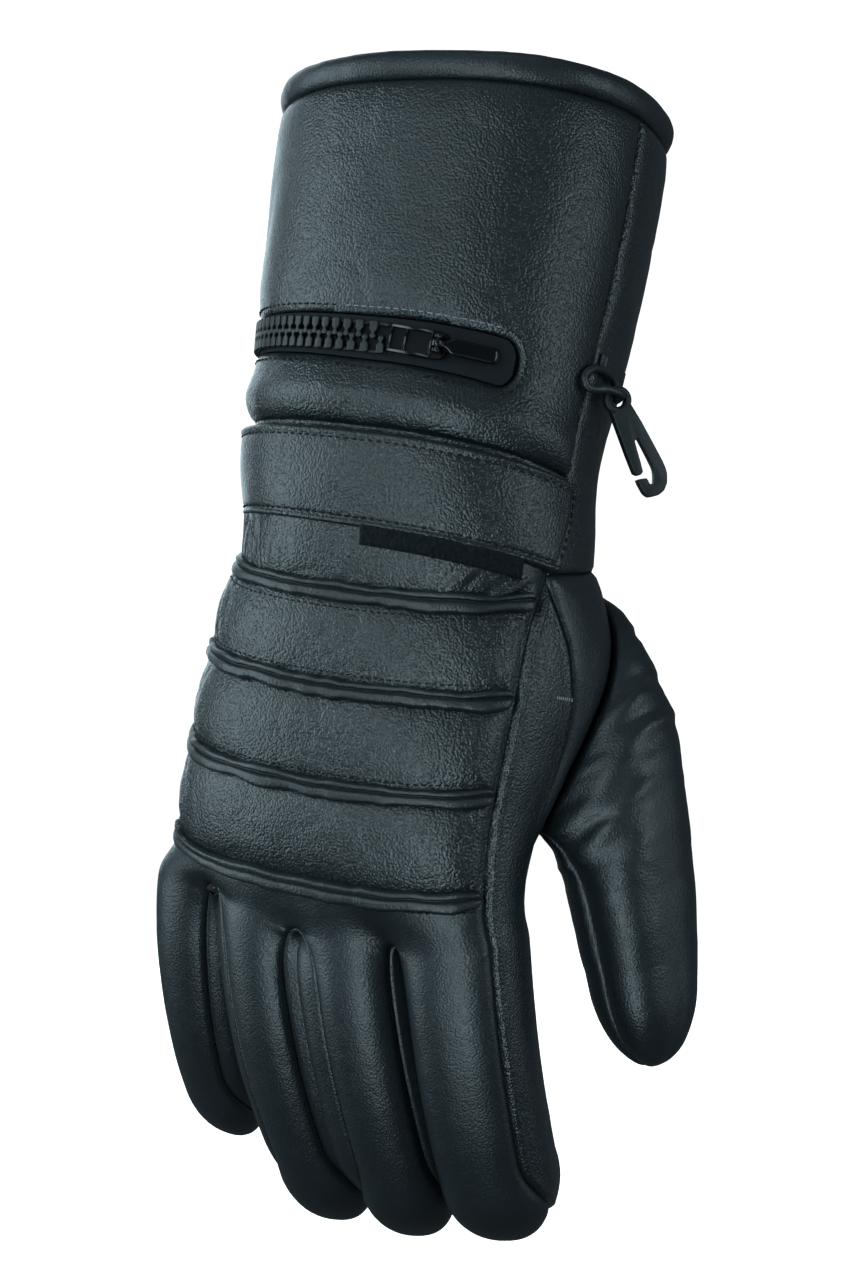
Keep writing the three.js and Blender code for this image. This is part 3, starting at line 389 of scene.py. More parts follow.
def loose_finger(finger, face, across, step):
    """A finger's part of the hand: on the sleeve it blends into the tube, and from the crotch
    on it is the tube."""
    crotch = lerp(*finger["crotches"], face.get("crotch", across))
    station, _ = finger_row(finger, crotch, step)
    turns = lerp(*face["tube"](np.maximum(station, 0)), across)
    row_turn = face["row_turn"](across)
    v = hand_row(step, row_turn)
    start = np.minimum(v, rib_row(3, row_turn))
    level = station_at(finger, sleeve(face["sleeve"](across, start), start)[..., 2])
    on_tube = tube(finger, turns, lerp(level, crotch, np.maximum(step / YOKE_ROWS, 0)))
    on_sleeve = sleeve(face["sleeve"](across, v), v)
    early = EARLY_ROWS * face["early"](across)
    blended = lerp(on_sleeve, on_tube, ease((step + early) / (CROTCH_STEP + early))[..., None])
    return np.where((step >= CROTCH_STEP)[..., None], tube(finger, turns, station), blended)


def finger_point(i, face_of, across, step):
    """The same with its crotches drawn together, so that above a crotch two neighbours share
    their valley."""
    finger, face = FINGERS[i], face_of(i)
    point = loose_finger(finger, face, across, step)
    for side, other in ((0, i - 1), (1, i + 1)):
        if 0 <= other < 4:
            pull = finger_row(finger, finger["crotches"][side], step)[1]
            held = np.minimum(step, CROTCH_STEP)
            own = loose_finger(finger, face, np.full_like(across, side), held)
            theirs = loose_finger(FINGERS[other], face_of(other), np.full_like(across, 1 - side), held)
            reach = np.clip(1 - np.abs(across - side) / 0.6, 0, 1) ** 2
            point = point + (0.5 * pull * reach)[..., None] * (theirs - own)
    return point


def web_point(i, deep, run):
    """Side piece between finger i and the next: run counts down one finger's side and up the other's."""
    def on_side(k, side, station):
        """A point of finger k's tube, between the edges of its back and its front."""
        back, front = edge_at(station, BACK_EDGES[k][side]), edge_at(station)
        turns = lerp(back, 1 - front, deep) if side else lerp(0.5 - back, front - 0.5, deep)
        return tube(FINGERS[k], turns, station)

    def half(k, side, other, other_side):
        """The half on finger k: its own side, drawn halfway to the neighbour's at the crotch."""
        station, pull = finger_row(FINGERS[k], FINGERS[k]["crotches"][side], CROTCH_STEP + np.abs(run))
        theirs = on_side(other, other_side, np.full_like(run, FINGERS[other]["crotches"][other_side]))
        own = on_side(k, side, np.full_like(run, FINGERS[k]["crotches"][side]))
        return on_side(k, side, station) + 0.5 * pull[..., None] * (theirs - own)

    return np.where((run <= 0)[..., None], half(i, 1, i + 1, 0), half(i + 1, 0, i, 1))


THUMB_LOOP = {"u": 0.605, "v": 0.706, "half_u": 0.055, "half_v": 0.148, "skew": 0.01}
THUMB_ROWS = (0, 0.05, 0.11, 0.18, 0.27, 0.37, 0.5, 0.65, 0.82, 1)
THUMB_BLEND = 0.4
THUMB_LAST = len(THUMB_ROWS) + len(TIP_ROWS) - 2


def loop_turn(theta):
    """The oval seam in the palm that the thumb is set into, as places on the sleeve."""
    angle = theta * 2 * np.pi
    aside = THUMB_LOOP["half_u"] * np.sin(angle) + THUMB_LOOP["skew"] * np.cos(angle)
    return THUMB_LOOP["u"] - aside, THUMB_LOOP["v"] + THUMB_LOOP["half_v"] * np.cos(angle)


def thumb_point(theta, step):
    """Thumb: it leaves the oval and reaches its own tube after 0.4 of its length."""
    root = sleeve(*loop_turn(theta))
    last = len(THUMB_ROWS) - 1
    down = np.interp(step, range(len(THUMB_ROWS)), THUMB_ROWS)
    tip = 1 - TIP * (1 - np.sin(np.radians(np.interp(step - last, range(len(TIP_ROWS)), TIP_ROWS))))
    station = np.where(step > last, tip, lerp(station_at(THUMB, root[..., 2]), 1 - TIP, down))
    leave = 1 - (1 - np.clip(down / THUMB_BLEND, 0, 1)) ** 2
    return lerp(root, tube(THUMB, theta, station), leave[..., None])


print("steps from the last rib to a fingertip:", LAST_STEP)

# %% [markdown]
# ## From a grid of points to a wall of leather
# Leather is a solid sheet about two millimetres thick, with a smooth side and a flesh side. A Solidify
# modifier could give a plane that thickness, but the seams would then be cut off square. Here both sides
# are worked out from one middle sheet, so each panel can swell away from its seams and dive down into
# them as stitched leather does.

# %% Sheets, their edges and how far each point is from an edge
CELL = 1.15


def spread(a, b, size=CELL, length=None):
    """Evenly spaced numbers from a to b, one about every `size` where the run is `length` long."""
    return np.linspace(a, b, max(int(round((abs(b - a) if length is None else length) / size)), 1) + 1)


def grid(surface, columns, rows):
    """The surface at each column and row, and the two counts themselves as a map."""
    a, b = np.meshgrid(columns, rows)
    return surface(a, b), np.stack([a, b], -1)


def cells(ids):
    """Two triangles in each cell of a grid of point numbers. The grid turned over gives them
    the other way round."""
    a, b, c, d = ids[..., :-1, :-1], ids[..., :-1, 1:], ids[..., 1:, 1:], ids[..., 1:, :-1]
    return np.concatenate([np.stack([a, b, c], -1).reshape(-1, 3), np.stack([a, c, d], -1).reshape(-1, 3)])


def looped(ids):
    """The grid of point numbers with its first column again after the last, so that it closes on itself."""
    return np.concatenate([ids, ids[..., :1]], -1)


def weld(grids):
    """Grids as one sheet: points within a few thousandths of a millimetre become one, and flat
    faces are dropped."""
    points = np.concatenate([p.reshape(-1, 3) for p, _ in grids])
    places = np.concatenate([m.reshape(-1, m.shape[-1]) for _, m in grids])
    starts = np.cumsum([0] + [p.shape[0] * p.shape[1] for p, _ in grids])
    faces = np.concatenate([cells(s + np.arange(p.shape[0] * p.shape[1]).reshape(p.shape[:2]).T)
                            for (p, _), s in zip(grids, starts)])
    rounded_off = np.round(points * 200).astype(np.int64)
    _, first, index = np.unique(rounded_off, axis=0, return_index=True, return_inverse=True)
    faces = index.reshape(-1)[faces]
    flat = (faces[:, 0] == faces[:, 1]) | (faces[:, 1] == faces[:, 2]) | (faces[:, 2] == faces[:, 0])
    return {"points": points[first], "map": places[first], "faces": faces[~flat]}


def point_normals(points, faces):
    """At each point, the sum of the cross products of the faces that meet there, at length one."""
    a, b, c = (points[faces[:, k]] for k in range(3))
    cross = np.cross(b - a, c - a)
    total = np.stack([sum(np.bincount(faces[:, k], cross[:, axis], len(points)) for k in range(3))
                      for axis in range(3)], -1)
    return unit(total)


def open_edges(faces, count):
    """Edges that only one face uses, in that face's own order."""
    edges = np.concatenate([faces[:, [0, 1]], faces[:, [1, 2]], faces[:, [2, 0]]])
    key, back = edges[:, 0] * count + edges[:, 1], edges[:, 1] * count + edges[:, 0]
    return edges[~np.isin(key, back)]


def nearest(points, others, chunk=1500):
    """For each point, the distance to the nearest of the others, and which one that is."""
    parts = []
    for start in range(0, len(points), chunk):
        p = points[start:start + chunk]
        square = (p * p).sum(-1)[:, None] + (others * others).sum(-1) - 2 * p @ others.T
        best = square.argmin(1)
        parts.append((np.sqrt(np.maximum(square[np.arange(len(p)), best], 0)), best))
    return np.concatenate([d for d, _ in parts]), np.concatenate([i for _, i in parts])


def relaxed(sheet, share, rounds=30):
    """Moves each point towards the middle of its neighbours by its own share, a few times over."""
    faces, count = sheet["faces"], len(sheet["points"])
    turned = [faces, faces[:, [1, 2, 0]], faces[:, [2, 0, 1]]]
    a, b = np.concatenate(turned).ravel(), np.concatenate(turned[1:] + turned[:1]).ravel()
    points, weight = sheet["points"], np.maximum(np.bincount(a, minlength=count), 1)
    for _ in range(rounds):
        middle = np.stack([np.bincount(a, points[b, axis], count) for axis in range(3)], -1) / weight[:, None]
        points = points + share[:, None] * (middle - points)
    return {**sheet, "points": points, "normals": point_normals(points, faces)}


def compact(sheet, keep):
    """The sheet with only the faces marked to keep, and the points that they use."""
    faces = sheet["faces"][keep]
    used = np.zeros(len(sheet["points"]), bool)
    used[faces] = True
    number = np.cumsum(used) - 1
    return {"points": sheet["points"][used], "map": sheet["map"][used], "faces": number[faces]}


def noise(p, size, seed=0):
    """Value noise from -1 to 1: a hashed number at each corner of a lattice, blended smoothly
    in between."""
    q = p / np.asarray(size, float)
    cell = np.floor(q).astype(np.int64)
    t = ease(q - cell)
    total = np.zeros(len(p))
    for corner in ((x, y, z) for x in (0, 1) for y in (0, 1) for z in (0, 1)):
        mixed = (cell + corner) @ np.array([73856093, 19349663, 83492791]) + seed * 2654435761
        mixed = (mixed ^ (mixed >> 13)) * 1274126177 & 0x7FFFFFFF
        mixed = (mixed ^ (mixed >> 15)) * 668265263 & 0x7FFFFFFF
        total += np.where(corner, t, 1 - t).prod(-1) * (mixed / 0x3FFFFFFF - 1)
    return total


def creases(p, size, seed=0):
    """Narrow valleys along the lines where the noise is zero: one less the size of the noise,
    to a high power."""
    return (1 - np.abs(noise(p, size, seed))) ** 6


def make(name, points, faces, materials, node=None, slot="leather", body="glove", second=None):
    """One object from millimetre points and triangles; `second` marks the faces that take the
    second material."""
    mesh = bpy.data.meshes.new(name)
    mesh.vertices.add(len(points))
    mesh.vertices.foreach_set("co", (points * 0.001).astype(np.float32).ravel())
    mesh.loops.add(faces.size)
    mesh.loops.foreach_set("vertex_index", faces.astype(np.int32).ravel())
    mesh.polygons.add(len(faces))
    mesh.polygons.foreach_set("loop_start", np.arange(0, faces.size, 3, dtype=np.int32))
    for material in materials:
        mesh.materials.append(material)
    if second is not None:
        mesh.polygons.foreach_set("material_index", second.astype(np.int32))
    mesh.update(calc_edges=True)
    mesh.validate()
    mesh.shade_smooth()
    piece = bpy.data.objects.new(name, mesh)
    bpy.context.scene.collection.objects.link(piece)
    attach(piece, body)
    if node:
        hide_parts(*([node] if isinstance(node, str) else node))
    return piece


# %% [markdown]
# ## The finishes
# The hide is black with a cool cast, and its shine is soft because a fine pebbled grain breaks it up. The
# grain is far below the size of the mesh, so it is a bump: cells for the pebbles and a slow noise that
# makes some patches smoother than others. Everything is worked out from the object's own coordinates, so
# no picture is needed.

# %% Materials
def set_sockets(node, values):
    """Sets the inputs of a shader node by their names."""
    for socket, value in values.items():
        node.inputs[socket].default_value = value


def finish(name, colour, rough, grain=(), vary=0.25, shine=0.5, rough_vary=0.08):
    """Principled finish. grain: rows of (kind, size in mm, height in mm) that are added up as one bump."""
    material = bpy.data.materials.new(name)
    material.use_nodes = True
    nodes, links = material.node_tree.nodes, material.node_tree.links
    shader = nodes["Principled BSDF"]
    set_sockets(shader, {"Base Color": (*colour, 1), "Roughness": rough, "Specular IOR Level": shine})
    where = nodes.new("ShaderNodeTexCoord").outputs["Object"]

    def texture(kind, size):
        """Cells or noise on the object's own coordinates, with features of a size in mm."""
        node = nodes.new({"pebble": "ShaderNodeTexVoronoi"}.get(kind, "ShaderNodeTexNoise"))
        node.inputs["Scale"].default_value = 1000 / size
        links.new(where, node.inputs["Vector"])
        if kind == "pebble":
            node.feature = "SMOOTH_F1"
            node.inputs["Smoothness"].default_value = 0.35
            return node.outputs["Distance"]
        node.inputs["Detail"].default_value = 3
        return node.outputs["Factor" if "Factor" in node.outputs else "Fac"]

    def graph(operation, *values):
        """One step of arithmetic on sockets and numbers."""
        node = nodes.new("ShaderNodeMath")
        node.operation = operation
        for socket, value in zip(node.inputs, values):
            if isinstance(value, (int, float)):
                socket.default_value = value
            else:
                links.new(value, socket)
        return node.outputs[0]

    if vary:
        tint = nodes.new("ShaderNodeMix")
        tint.data_type = "RGBA"
        links.new(texture("noise", 14), tint.inputs["Factor"])
        tint.inputs[6].default_value = (*[c * (1 - vary) for c in colour], 1)
        tint.inputs[7].default_value = (*[c * (1 + vary) for c in colour], 1)
        links.new(tint.outputs[2], shader.inputs["Base Color"])
    if rough_vary:
        fine = texture("noise", 3.5)
        links.new(graph("MULTIPLY_ADD", fine, 2 * rough_vary, rough - rough_vary), shader.inputs["Roughness"])
    height = None
    for kind, size, tall in grain:
        level = graph("MULTIPLY", texture(kind, size), tall * 0.001 * (-1 if kind == "pebble" else 1))
        height = level if height is None else graph("ADD", height, level)
    if height is not None:
        bump = nodes.new("ShaderNodeBump")
        set_sockets(bump, {"Strength": 1, "Distance": 1})
        links.new(height, bump.inputs["Height"])
        links.new(bump.outputs["Normal"], shader.inputs["Normal"])
    return material


HIDE = finish("grained black hide", (0.0093, 0.0137, 0.0162), 0.34,
              [("pebble", 0.80, 0.20), ("noise", 2.4, 0.05), ("pebble", 0.45, 0.07)])
SMOOTH_HIDE = finish("smooth black hide", (0.010, 0.0145, 0.0175), 0.43,
                     [("pebble", 0.7, 0.10), ("noise", 2.2, 0.04)])
FLESH = finish("flesh side of the hide", (0.020, 0.020, 0.021), 0.95, [("noise", 0.8, 0.15)], shine=0.2)
THREAD = finish("black thread", (0.006, 0.007, 0.008), 0.75, [("noise", 0.4, 0.05)], shine=0.3)
# Pale grey thread, used for the pocket's upper stitches past the slider and for the bar tack.
PALE_THREAD = finish("pale thread", (0.22, 0.25, 0.27), 0.7, [("noise", 0.4, 0.05)], shine=0.3)
PILE = finish("black pile", (0.010, 0.013, 0.015), 1.0, [("noise", 0.3, 0.2)], shine=0.15)
TAPE = finish("woven tape", (0.008, 0.010, 0.012), 0.85, [("noise", 0.5, 0.12)], shine=0.25)
MOULDED = finish("moulded black plastic", (0.011, 0.014, 0.015), 0.48, [("noise", 1.2, 0.02)],
                 vary=0.1, shine=0.35)
ENAMEL = finish("black enamel", (0.003, 0.004, 0.005), 0.20, vary=0.1, shine=0.32, rough_vary=0.05)
# A darker, duller copy of the black enamel for the slider's floor plate, which shows in its sunk window:
# painted shade, not a second finish of the metal.
PAINTED_SHADE_ENAMEL = finish("black enamel with painted shade in the window", (0.002, 0.0025, 0.003), 0.5, vary=0.1, shine=0.1,
                     rough_vary=0.05)
print("finishes:", len(bpy.data.materials))

# %% [markdown]
# ## Camera and light
# The photograph looks at the thumb side of the back of the hand from straight ahead with a long lens. One
# large softbox stands high on the left, which gives the broad pale band down the cuff; the right is left
# almost dark. A closer camera would show more perspective than the photo has, so it stands 1.2 metres
# away.

# %% Camera, lights, floor and backdrop
TURN = np.radians(22)
RIGHT = np.array([np.cos(TURN), np.sin(TURN), 0])
UP = np.array([0, 0, 1.0])
BACK = np.array([np.sin(TURN), -np.cos(TURN), 0])
TARGET = (-14.4 * RIGHT - 158.4 * UP + 20 * BACK) / 1000
camera = bpy.data.objects.new("camera", bpy.data.cameras.new("camera"))
bpy.context.scene.collection.objects.link(camera)
camera.data.lens, camera.data.sensor_width, camera.data.sensor_height = 112.5, 36, 36
camera.data.sensor_fit = "AUTO"
camera.location = TARGET + 1.2 * BACK
camera.rotation_euler = Vector(BACK).to_track_quat("Z", "Y").to_euler()
bpy.context.scene.camera = camera
bpy.context.scene.view_settings.view_transform = "Standard"


COOL = (0.72, 0.92, 1.0)
SOFTBOXES = (
    ("left edge light", -1.35, 0.2, 0.05, 0.8, 1.6, 19),
    ("key light", -0.76, 0.46, 1.14, 0.35, 1.1, 6.2),
    ("front light", -0.42, -0.14, 1.32, 0.22, 0.7, 5.0),
    ("top light", -0.1, 1.3, 0.3, 0.9, 0.5, 0.9),
    ("right light", 0.98, 0.2, 0.78, 0.18, 0.9, 4.8),
    ("right edge light", 1.2, -0.1, 0.20, 0.22, 1.1, 1.2),
    ("low light", -0.40, -0.75, 1.1, 0.6, 0.5, 7.2),
    ("palm light", -0.4, 0.5, -1.3, 1.0, 1.2, 10),
)


def softbox(name, right, up, back, wide, tall, watts):
    """Area light at a place given from the target in metres, turned to face it."""
    light = bpy.data.lights.new(name, "AREA")
    light.shape, light.size, light.size_y, light.energy, light.color = "RECTANGLE", wide, tall, watts, COOL
    lamp = bpy.data.objects.new(name, light)
    bpy.context.scene.collection.objects.link(lamp)
    away = right * RIGHT + up * UP + back * BACK
    lamp.location = TARGET + away
    lamp.rotation_euler = Vector(away).to_track_quat("Z", "Y").to_euler()


for row in SOFTBOXES:
    softbox(*row)
world = bpy.data.worlds.new("studio")
bpy.context.scene.world = world
world.use_nodes = True
set_sockets(world.node_tree.nodes["Background"], {"Color": (0.75, 0.92, 1.0, 1), "Strength": 0.10})

PAPER = bpy.data.materials.new("white paper")
PAPER.use_nodes = True
set_sockets(PAPER.node_tree.nodes["Principled BSDF"], {
    "Base Color": (0.9, 0.9, 0.9, 1), "Roughness": 1,
    "Emission Color": (1, 1, 1, 1), "Emission Strength": 1.0,
})


def studio_drum(radius=4.0, low=-0.37, high=4.0, sides=48):
    """A floor disc and a wall round it, facing inwards."""
    ring = oval(turns_of(sides), radius, radius)
    points = np.concatenate([np.column_stack([ring, np.full(sides, level)]) for level in (low, high)])
    k, n = np.arange(sides), (np.arange(sides) + 1) % sides
    mesh = bpy.data.meshes.new("studio paper")
    mesh.from_pydata(points.tolist(), [], [k.tolist(), *np.stack([k, k + sides, n + sides, n], -1).tolist()])
    mesh.materials.append(PAPER)
    drum = bpy.data.objects.new("studio paper", mesh)
    bpy.context.scene.collection.objects.link(drum)
    drum.visible_glossy = drum.visible_diffuse = False


studio_drum()
print("camera at", np.round(np.array(camera.location), 3).tolist())

# %% [markdown]
# ## Cutting the panels
# Each panel is drawn on the sleeve, closed into a wall, and shaped by its distance from the nearest seam:
# stitched down at the edge, then swollen by the padding behind it. Cloth simulation would need the hand,
# the padding and hours of time to come to the same folds. Instead the folds are put where the photograph
# shows them.

# %% The wall of one panel
PANELS = {}


def edge_shape(d, puff=0.9, reach=6.0, dive=1.1, near=1.3):
    """Height above the plain sheet: swells with the distance d from a seam and dives within
    the last millimetre."""
    return puff * (1 - bell(d, 0, reach)) - dive * bell(d, 0, near)


def close_wall(sheet, high, low, trim):
    """Outer and inner side at two heights over the sheet, drawn in at the open edges and joined there."""
    points, faces, normals = sheet["points"], sheet["faces"], sheet["normals"]
    rim = sheet["rim"]
    along = unit(points[rim[:, 1]] - points[rim[:, 0]])
    pull = np.zeros_like(points)
    for end in (0, 1):
        np.add.at(pull, rim[:, end], unit(np.cross(normals[rim[:, end]], along)))
    base = points + trim * unit(pull)
    far = len(points)
    a, b = rim[:, 0], rim[:, 1]
    walls = np.concatenate([np.stack([b, a, a + far], -1), np.stack([b, a + far, b + far], -1)])
    both = np.concatenate([base + normals * high[:, None], base + normals * low[:, None]])
    return both, np.concatenate([faces, faces[:, ::-1] + far, walls]), len(faces)


def prepare(grids, hole=None):
    """Welds the grids, cuts the hole if there is one, and measures normals, open edges and the
    distance to them."""
    sheet = weld(grids)
    if hole:
        sheet = hole(sheet)
    sheet["normals"] = point_normals(sheet["points"], sheet["faces"])
    sheet["rim"] = open_edges(sheet["faces"], len(sheet["points"]))
    rim_points = sheet["points"][np.unique(sheet["rim"])]
    sheet["edge"], _ = nearest(sheet["points"], rim_points)
    return sheet


def leather(name, grids, folds, wall=WALL, hole=None, trim=0.05, shape=edge_shape, soften=None, hide=HIDE):
    """One panel: prepares its sheet, raises it by its edge shape and folds, and closes it into a wall."""
    sheet = prepare(grids, hole)
    if soften:
        sheet = relaxed(sheet, soften(sheet) * ease(sheet["edge"] / 2.5))
    sheet["height"] = height = shape(sheet["edge"]) + folds(sheet) * ease(sheet["edge"] / 3)
    PANELS[name] = sheet
    points, faces, count = close_wall(sheet, height, np.full(len(height), -wall), trim)
    second = np.zeros(len(faces))
    second[count:2 * count] = 1
    make(name + "_panel", points, faces, [hide, FLESH], name, second=second)
    print(name, len(faces), "triangles")


def waves(p, seed, *rows):
    """A sum of noises. rows: (height, size) in mm, each with the next seed."""
    return sum(height * noise(p, size, seed + k) for k, (height, size) in enumerate(rows))


def soft_folds(amount, seed):
    """Slow swellings, a few long creases and the small unevenness of any worn hide."""
    def folds(sheet):
        """Three noises of falling size, less the creases."""
        p = sheet["points"]
        return amount * (waves(p, seed, (0.55, 26), (0.22, 9), (0.07, 3.4))
                         - 0.28 * creases(p, (22, 22, 30), seed + 3))
    return folds


# %% Back, palm and side of the sleeve
COLUMNS = (4, 3, 3, 3)
ALL_COLUMNS = sum(COLUMNS)


def share_at(shares, widths, column):
    """Share of the width at a count of columns, where each part has its own number of columns."""
    return np.interp(column, np.cumsum([0, *widths]), shares)


def back_surface(column, step):
    """The sleeve under the back panels, at a count of columns and of rows."""
    share = share_at(BACK_SHARES, COLUMNS, column)
    v = row_at(step, SEAM * share)
    return sleeve(back_turn(share, v), v)


def palm_place(column, step):
    """Turn and row of the sleeve at a count of columns and of rows over the palm."""
    share = share_at(PALM_SHARES, COLUMNS[::-1], column)
    v = row_at(step, lerp(SEAM, 1.0, share))
    return palm_turn(share, v), v


def palm_surface(column, step):
    """The sleeve under the palm, at a count of columns and of rows."""
    return sleeve(*palm_place(column, step))


def strip_surface(across, step):
    """The side strip: on the sleeve it lies between the two seams, and below it follows the
    index finger."""
    lower = loose_finger(FINGERS[3], THUMB_SIDE, across, step - RIB_STEPS[3])
    v = row_at(step, np.full_like(across, SEAM))
    upper = sleeve(lerp(*seam_at(v), across), v)
    return np.where((step > RIB_STEPS[2])[..., None], lower, upper)


HALF_ROUND = 172.0
sleeve_columns = spread(0, ALL_COLUMNS, length=HALF_ROUND)
print("cells across the back:", len(sleeve_columns))

# %% [markdown]
# ## The cuff
# The cuff is two big panels joined down the thumb side. In the back one a pocket is cut, and a zip fills
# the cut. The opening could be a boolean cut, which is slow on so fine a mesh. Instead the faces inside
# it are left out and the points at its edge are moved onto it, so the edge is clean.

# %% Pocket opening and cuff panels
ZIP_DROP, ZIP_SLANT, ZIP_FROM, ZIP_TO = 72.6, 32.0, 0.014, 0.353
WINDOW, WINDOW_GROWTH = 10.8, 2.6
GIRTH = 330.0


def zip_row(u):
    """The zip's row of the sleeve: it drops evenly as it goes round."""
    return (ZIP_DROP + ZIP_SLANT * u) / TRUNK


def window_half(u):
    """Half the height of the pocket's opening, in mm, without its round end."""
    return (WINDOW + WINDOW_GROWTH * np.minimum(u, ZIP_TO) / ZIP_TO) / 2


def pocket_hole(sheet):
    """Leaves out the faces inside the opening and moves their outer neighbours onto its edge."""
    column, step = sheet["map"].T
    share = share_at(BACK_SHARES, COLUMNS, column)
    v = row_at(step, SEAM * share)
    u = back_turn(share, v)
    beyond = np.maximum(u - ZIP_TO, 0) * GIRTH
    level = (v - zip_row(u)) * TRUNK
    reach = np.hypot(beyond, level) / window_half(u)
    inside = (reach < 1.07) & (u > ZIP_FROM)
    keep = ~inside[sheet["faces"]].all(1)
    to_end = (u - ZIP_FROM) * GIRTH
    scale = 1 / np.maximum(reach, 0.05)
    side = to_end < (1 - reach) * window_half(u)
    new_u = np.where(side, ZIP_FROM, np.minimum(u, ZIP_TO) + beyond * scale / GIRTH)
    new_v = zip_row(new_u) + np.where(side, level, level * scale) / TRUNK
    moved = sleeve(np.where(inside, new_u, u), np.where(inside, new_v, v))
    sheet["points"] = np.where(inside[:, None], moved, sheet["points"])
    return compact(sheet, keep)


CUFF_LENGTH = 98


def cuff_folds(sheet):
    """A puffy hem over the strap, a drawn-in line under the rim, and slow dents across the cuff."""
    p = sheet["points"]
    above_fold = (FOLD_STEP - sheet["map"][:, 1]) / FOLD_STEP * CUFF_LENGTH
    hem = 2.0 * bell(above_fold, 7, 6)
    pinch = -0.35 * np.abs(np.sin(p[:, 0] * 0.21 + 2 * noise(p, 20, 3))) * bell(above_fold, 0, 9)
    tired = 0.5 * noise(p, (30, 30, 14), 9) * ease((above_fold - 25) / -20)
    return hem + pinch + tired + soft_folds(0.8, 11)(sheet)


leather("cuff_back", [grid(back_surface, sleeve_columns, spread(RIM_STEP, FOLD_STEP, length=96))],
        cuff_folds, hole=pocket_hole)
leather("cuff_palm", [grid(palm_surface, sleeve_columns, spread(RIM_STEP, WRIST_STEP, length=140))],
        soft_folds(1.0, 21))

# %% [markdown]
# ## Wrist panel and bands
# Under the strap the back is drawn in by elastic, so that panel is gathered into fine upright wrinkles on
# the little finger's side and slanting ones towards the thumb. The three bands below it are padded, so
# they swell between the welts, and each is gathered a little at its outer end.

# %% Gathered wrist and padded bands
def gathers(p, u, high_u, seed, pitch=4.2):
    """Upright wrinkles from the panel's edge to a turn of the sleeve: stretched noise,
    strongest at the edge."""
    fade = ease((u + 0.03) / 0.03) * ease((high_u - u) / high_u)
    fine = (0.55 - creases(p, (pitch, pitch, 19), seed)
            - 0.5 * creases(p, (0.7 * pitch, 0.7 * pitch, 11), seed + 1))
    return fade * (1.15 * fine + 0.5 * noise(p, (2 * pitch, 2 * pitch, 24), seed + 2))


def panel_turn(sheet):
    """The turn of each point of a back panel, from its count of columns."""
    return SEAM * share_at(BACK_SHARES, COLUMNS, sheet["map"][:, 0])


def slanted(p, angle, along, across, seed):
    """Wrinkles that run at an angle to level: noise in turned coordinates, long one way and
    short the other."""
    c, s = np.cos(np.radians(angle)), np.sin(np.radians(angle))
    level = p @ RIGHT
    q = np.stack([level * c + p[:, 2] * s, -level * s + p[:, 2] * c, p @ BACK * 0.3], -1)
    return noise(q, (along, across, 12), seed)


def wrist_folds(sheet):
    """Gathers on the little finger's side, a fan of slanting wrinkles on the other, and an
    upper edge tucked under."""
    p, u = sheet["points"], panel_turn(sheet)
    right = ease((u - 0.2) / 0.2)
    fan = 0.75 * slanted(p, 32, 11, 2.6, 41) + 0.4 * slanted(p, 48, 8, 1.8, 43)
    under = (sheet["map"][:, 1] - FOLD_STEP) * 24
    tucked = -1.9 * bell(under, 0, 6.5)
    worn = 0.35 * noise(p, 16, 33) - 0.3 * creases(p, 13, 35)
    return 0.9 * gathers(p, u, 0.26, 31) + right * fan + worn + tucked


def band_folds(seed, strength):
    """A padded swelling along the middle of the band, with gathers at its little-finger end."""
    def folds(sheet):
        """Gathers at both ends over the unevenness of the padding."""
        p, u = sheet["points"], panel_turn(sheet)
        return (strength * gathers(p, u, 0.17, seed) + 0.4 * gathers(p, 0.47 - u, 0.08, seed + 5)
                + waves(p, seed + 1, (0.4, 18), (0.08, 3.2)) - 0.16 * creases(p, (14, 14, 9), seed + 3))
    return folds


def padded_edge(d):
    """A band between welts: a deeper dive at the seam and a fuller swelling behind it."""
    return edge_shape(d, puff=1.7, reach=6.5, dive=1.2, near=2.2)


band_columns = spread(0, ALL_COLUMNS, 0.75, HALF_ROUND)
leather("wrist_panel", [grid(back_surface, band_columns, spread(FOLD_STEP, RIB_STEPS[0], 0.75, 48))],
        wrist_folds, shape=padded_edge)
for i, strength in enumerate((1.0, 0.6, 0.35)):
    rows = spread(RIB_STEPS[i], RIB_STEPS[i + 1], 0.75, 30)
    leather(f"back_band_{i + 1}", [grid(back_surface, band_columns, rows)],
            band_folds(51 + 7 * i, strength), shape=padded_edge)

# %% [markdown]
# ## Fingers, palm and thumb
# A glove's fingers are boxes: a back, a front and narrow side pieces called fourchettes. They all meet at
# the crotch, where the leather is drawn together. The backs are one panel with four fingers, so four
# grids share their edges. The thumb is set into an oval opening in the palm and has its own seam down
# both sides.

# %% Finger backs, palm, side strip and side pieces
FINE = 1.05


def finger_rows(first, last=LAST_STEP):
    """Rows down a finger, closer together where the steps are longer."""
    parts = ((first, 0, abs(first) * 9.0), (0, CROTCH_STEP, 26), (CROTCH_STEP, TUBE_STEP, 14),
             (TUBE_STEP, TIP_STEP, 78), (TIP_STEP, last, 24 * (last - TIP_STEP) / 5))
    runs = [spread(max(a, first), b, FINE, length) for a, b, length in parts if b > a]
    return np.unique(np.round(np.concatenate(runs), 6))


def finger_columns(i):
    """Columns across finger i. The palm above has the same ones, so the two grids meet point by point."""
    return spread(0, 1, FINE, 31 if i else 37)


def finger_grids(face_of, first):
    """One grid a finger, all from the same row on; fronts run the other way round, to face outwards."""
    grids = []
    for i in range(4):
        surface = lambda column, step, i=i: finger_point(i, face_of, column, step)
        columns = finger_columns(i)
        grids.append(grid(surface, columns if face_of is back_face else columns[::-1], finger_rows(first)))
    return grids


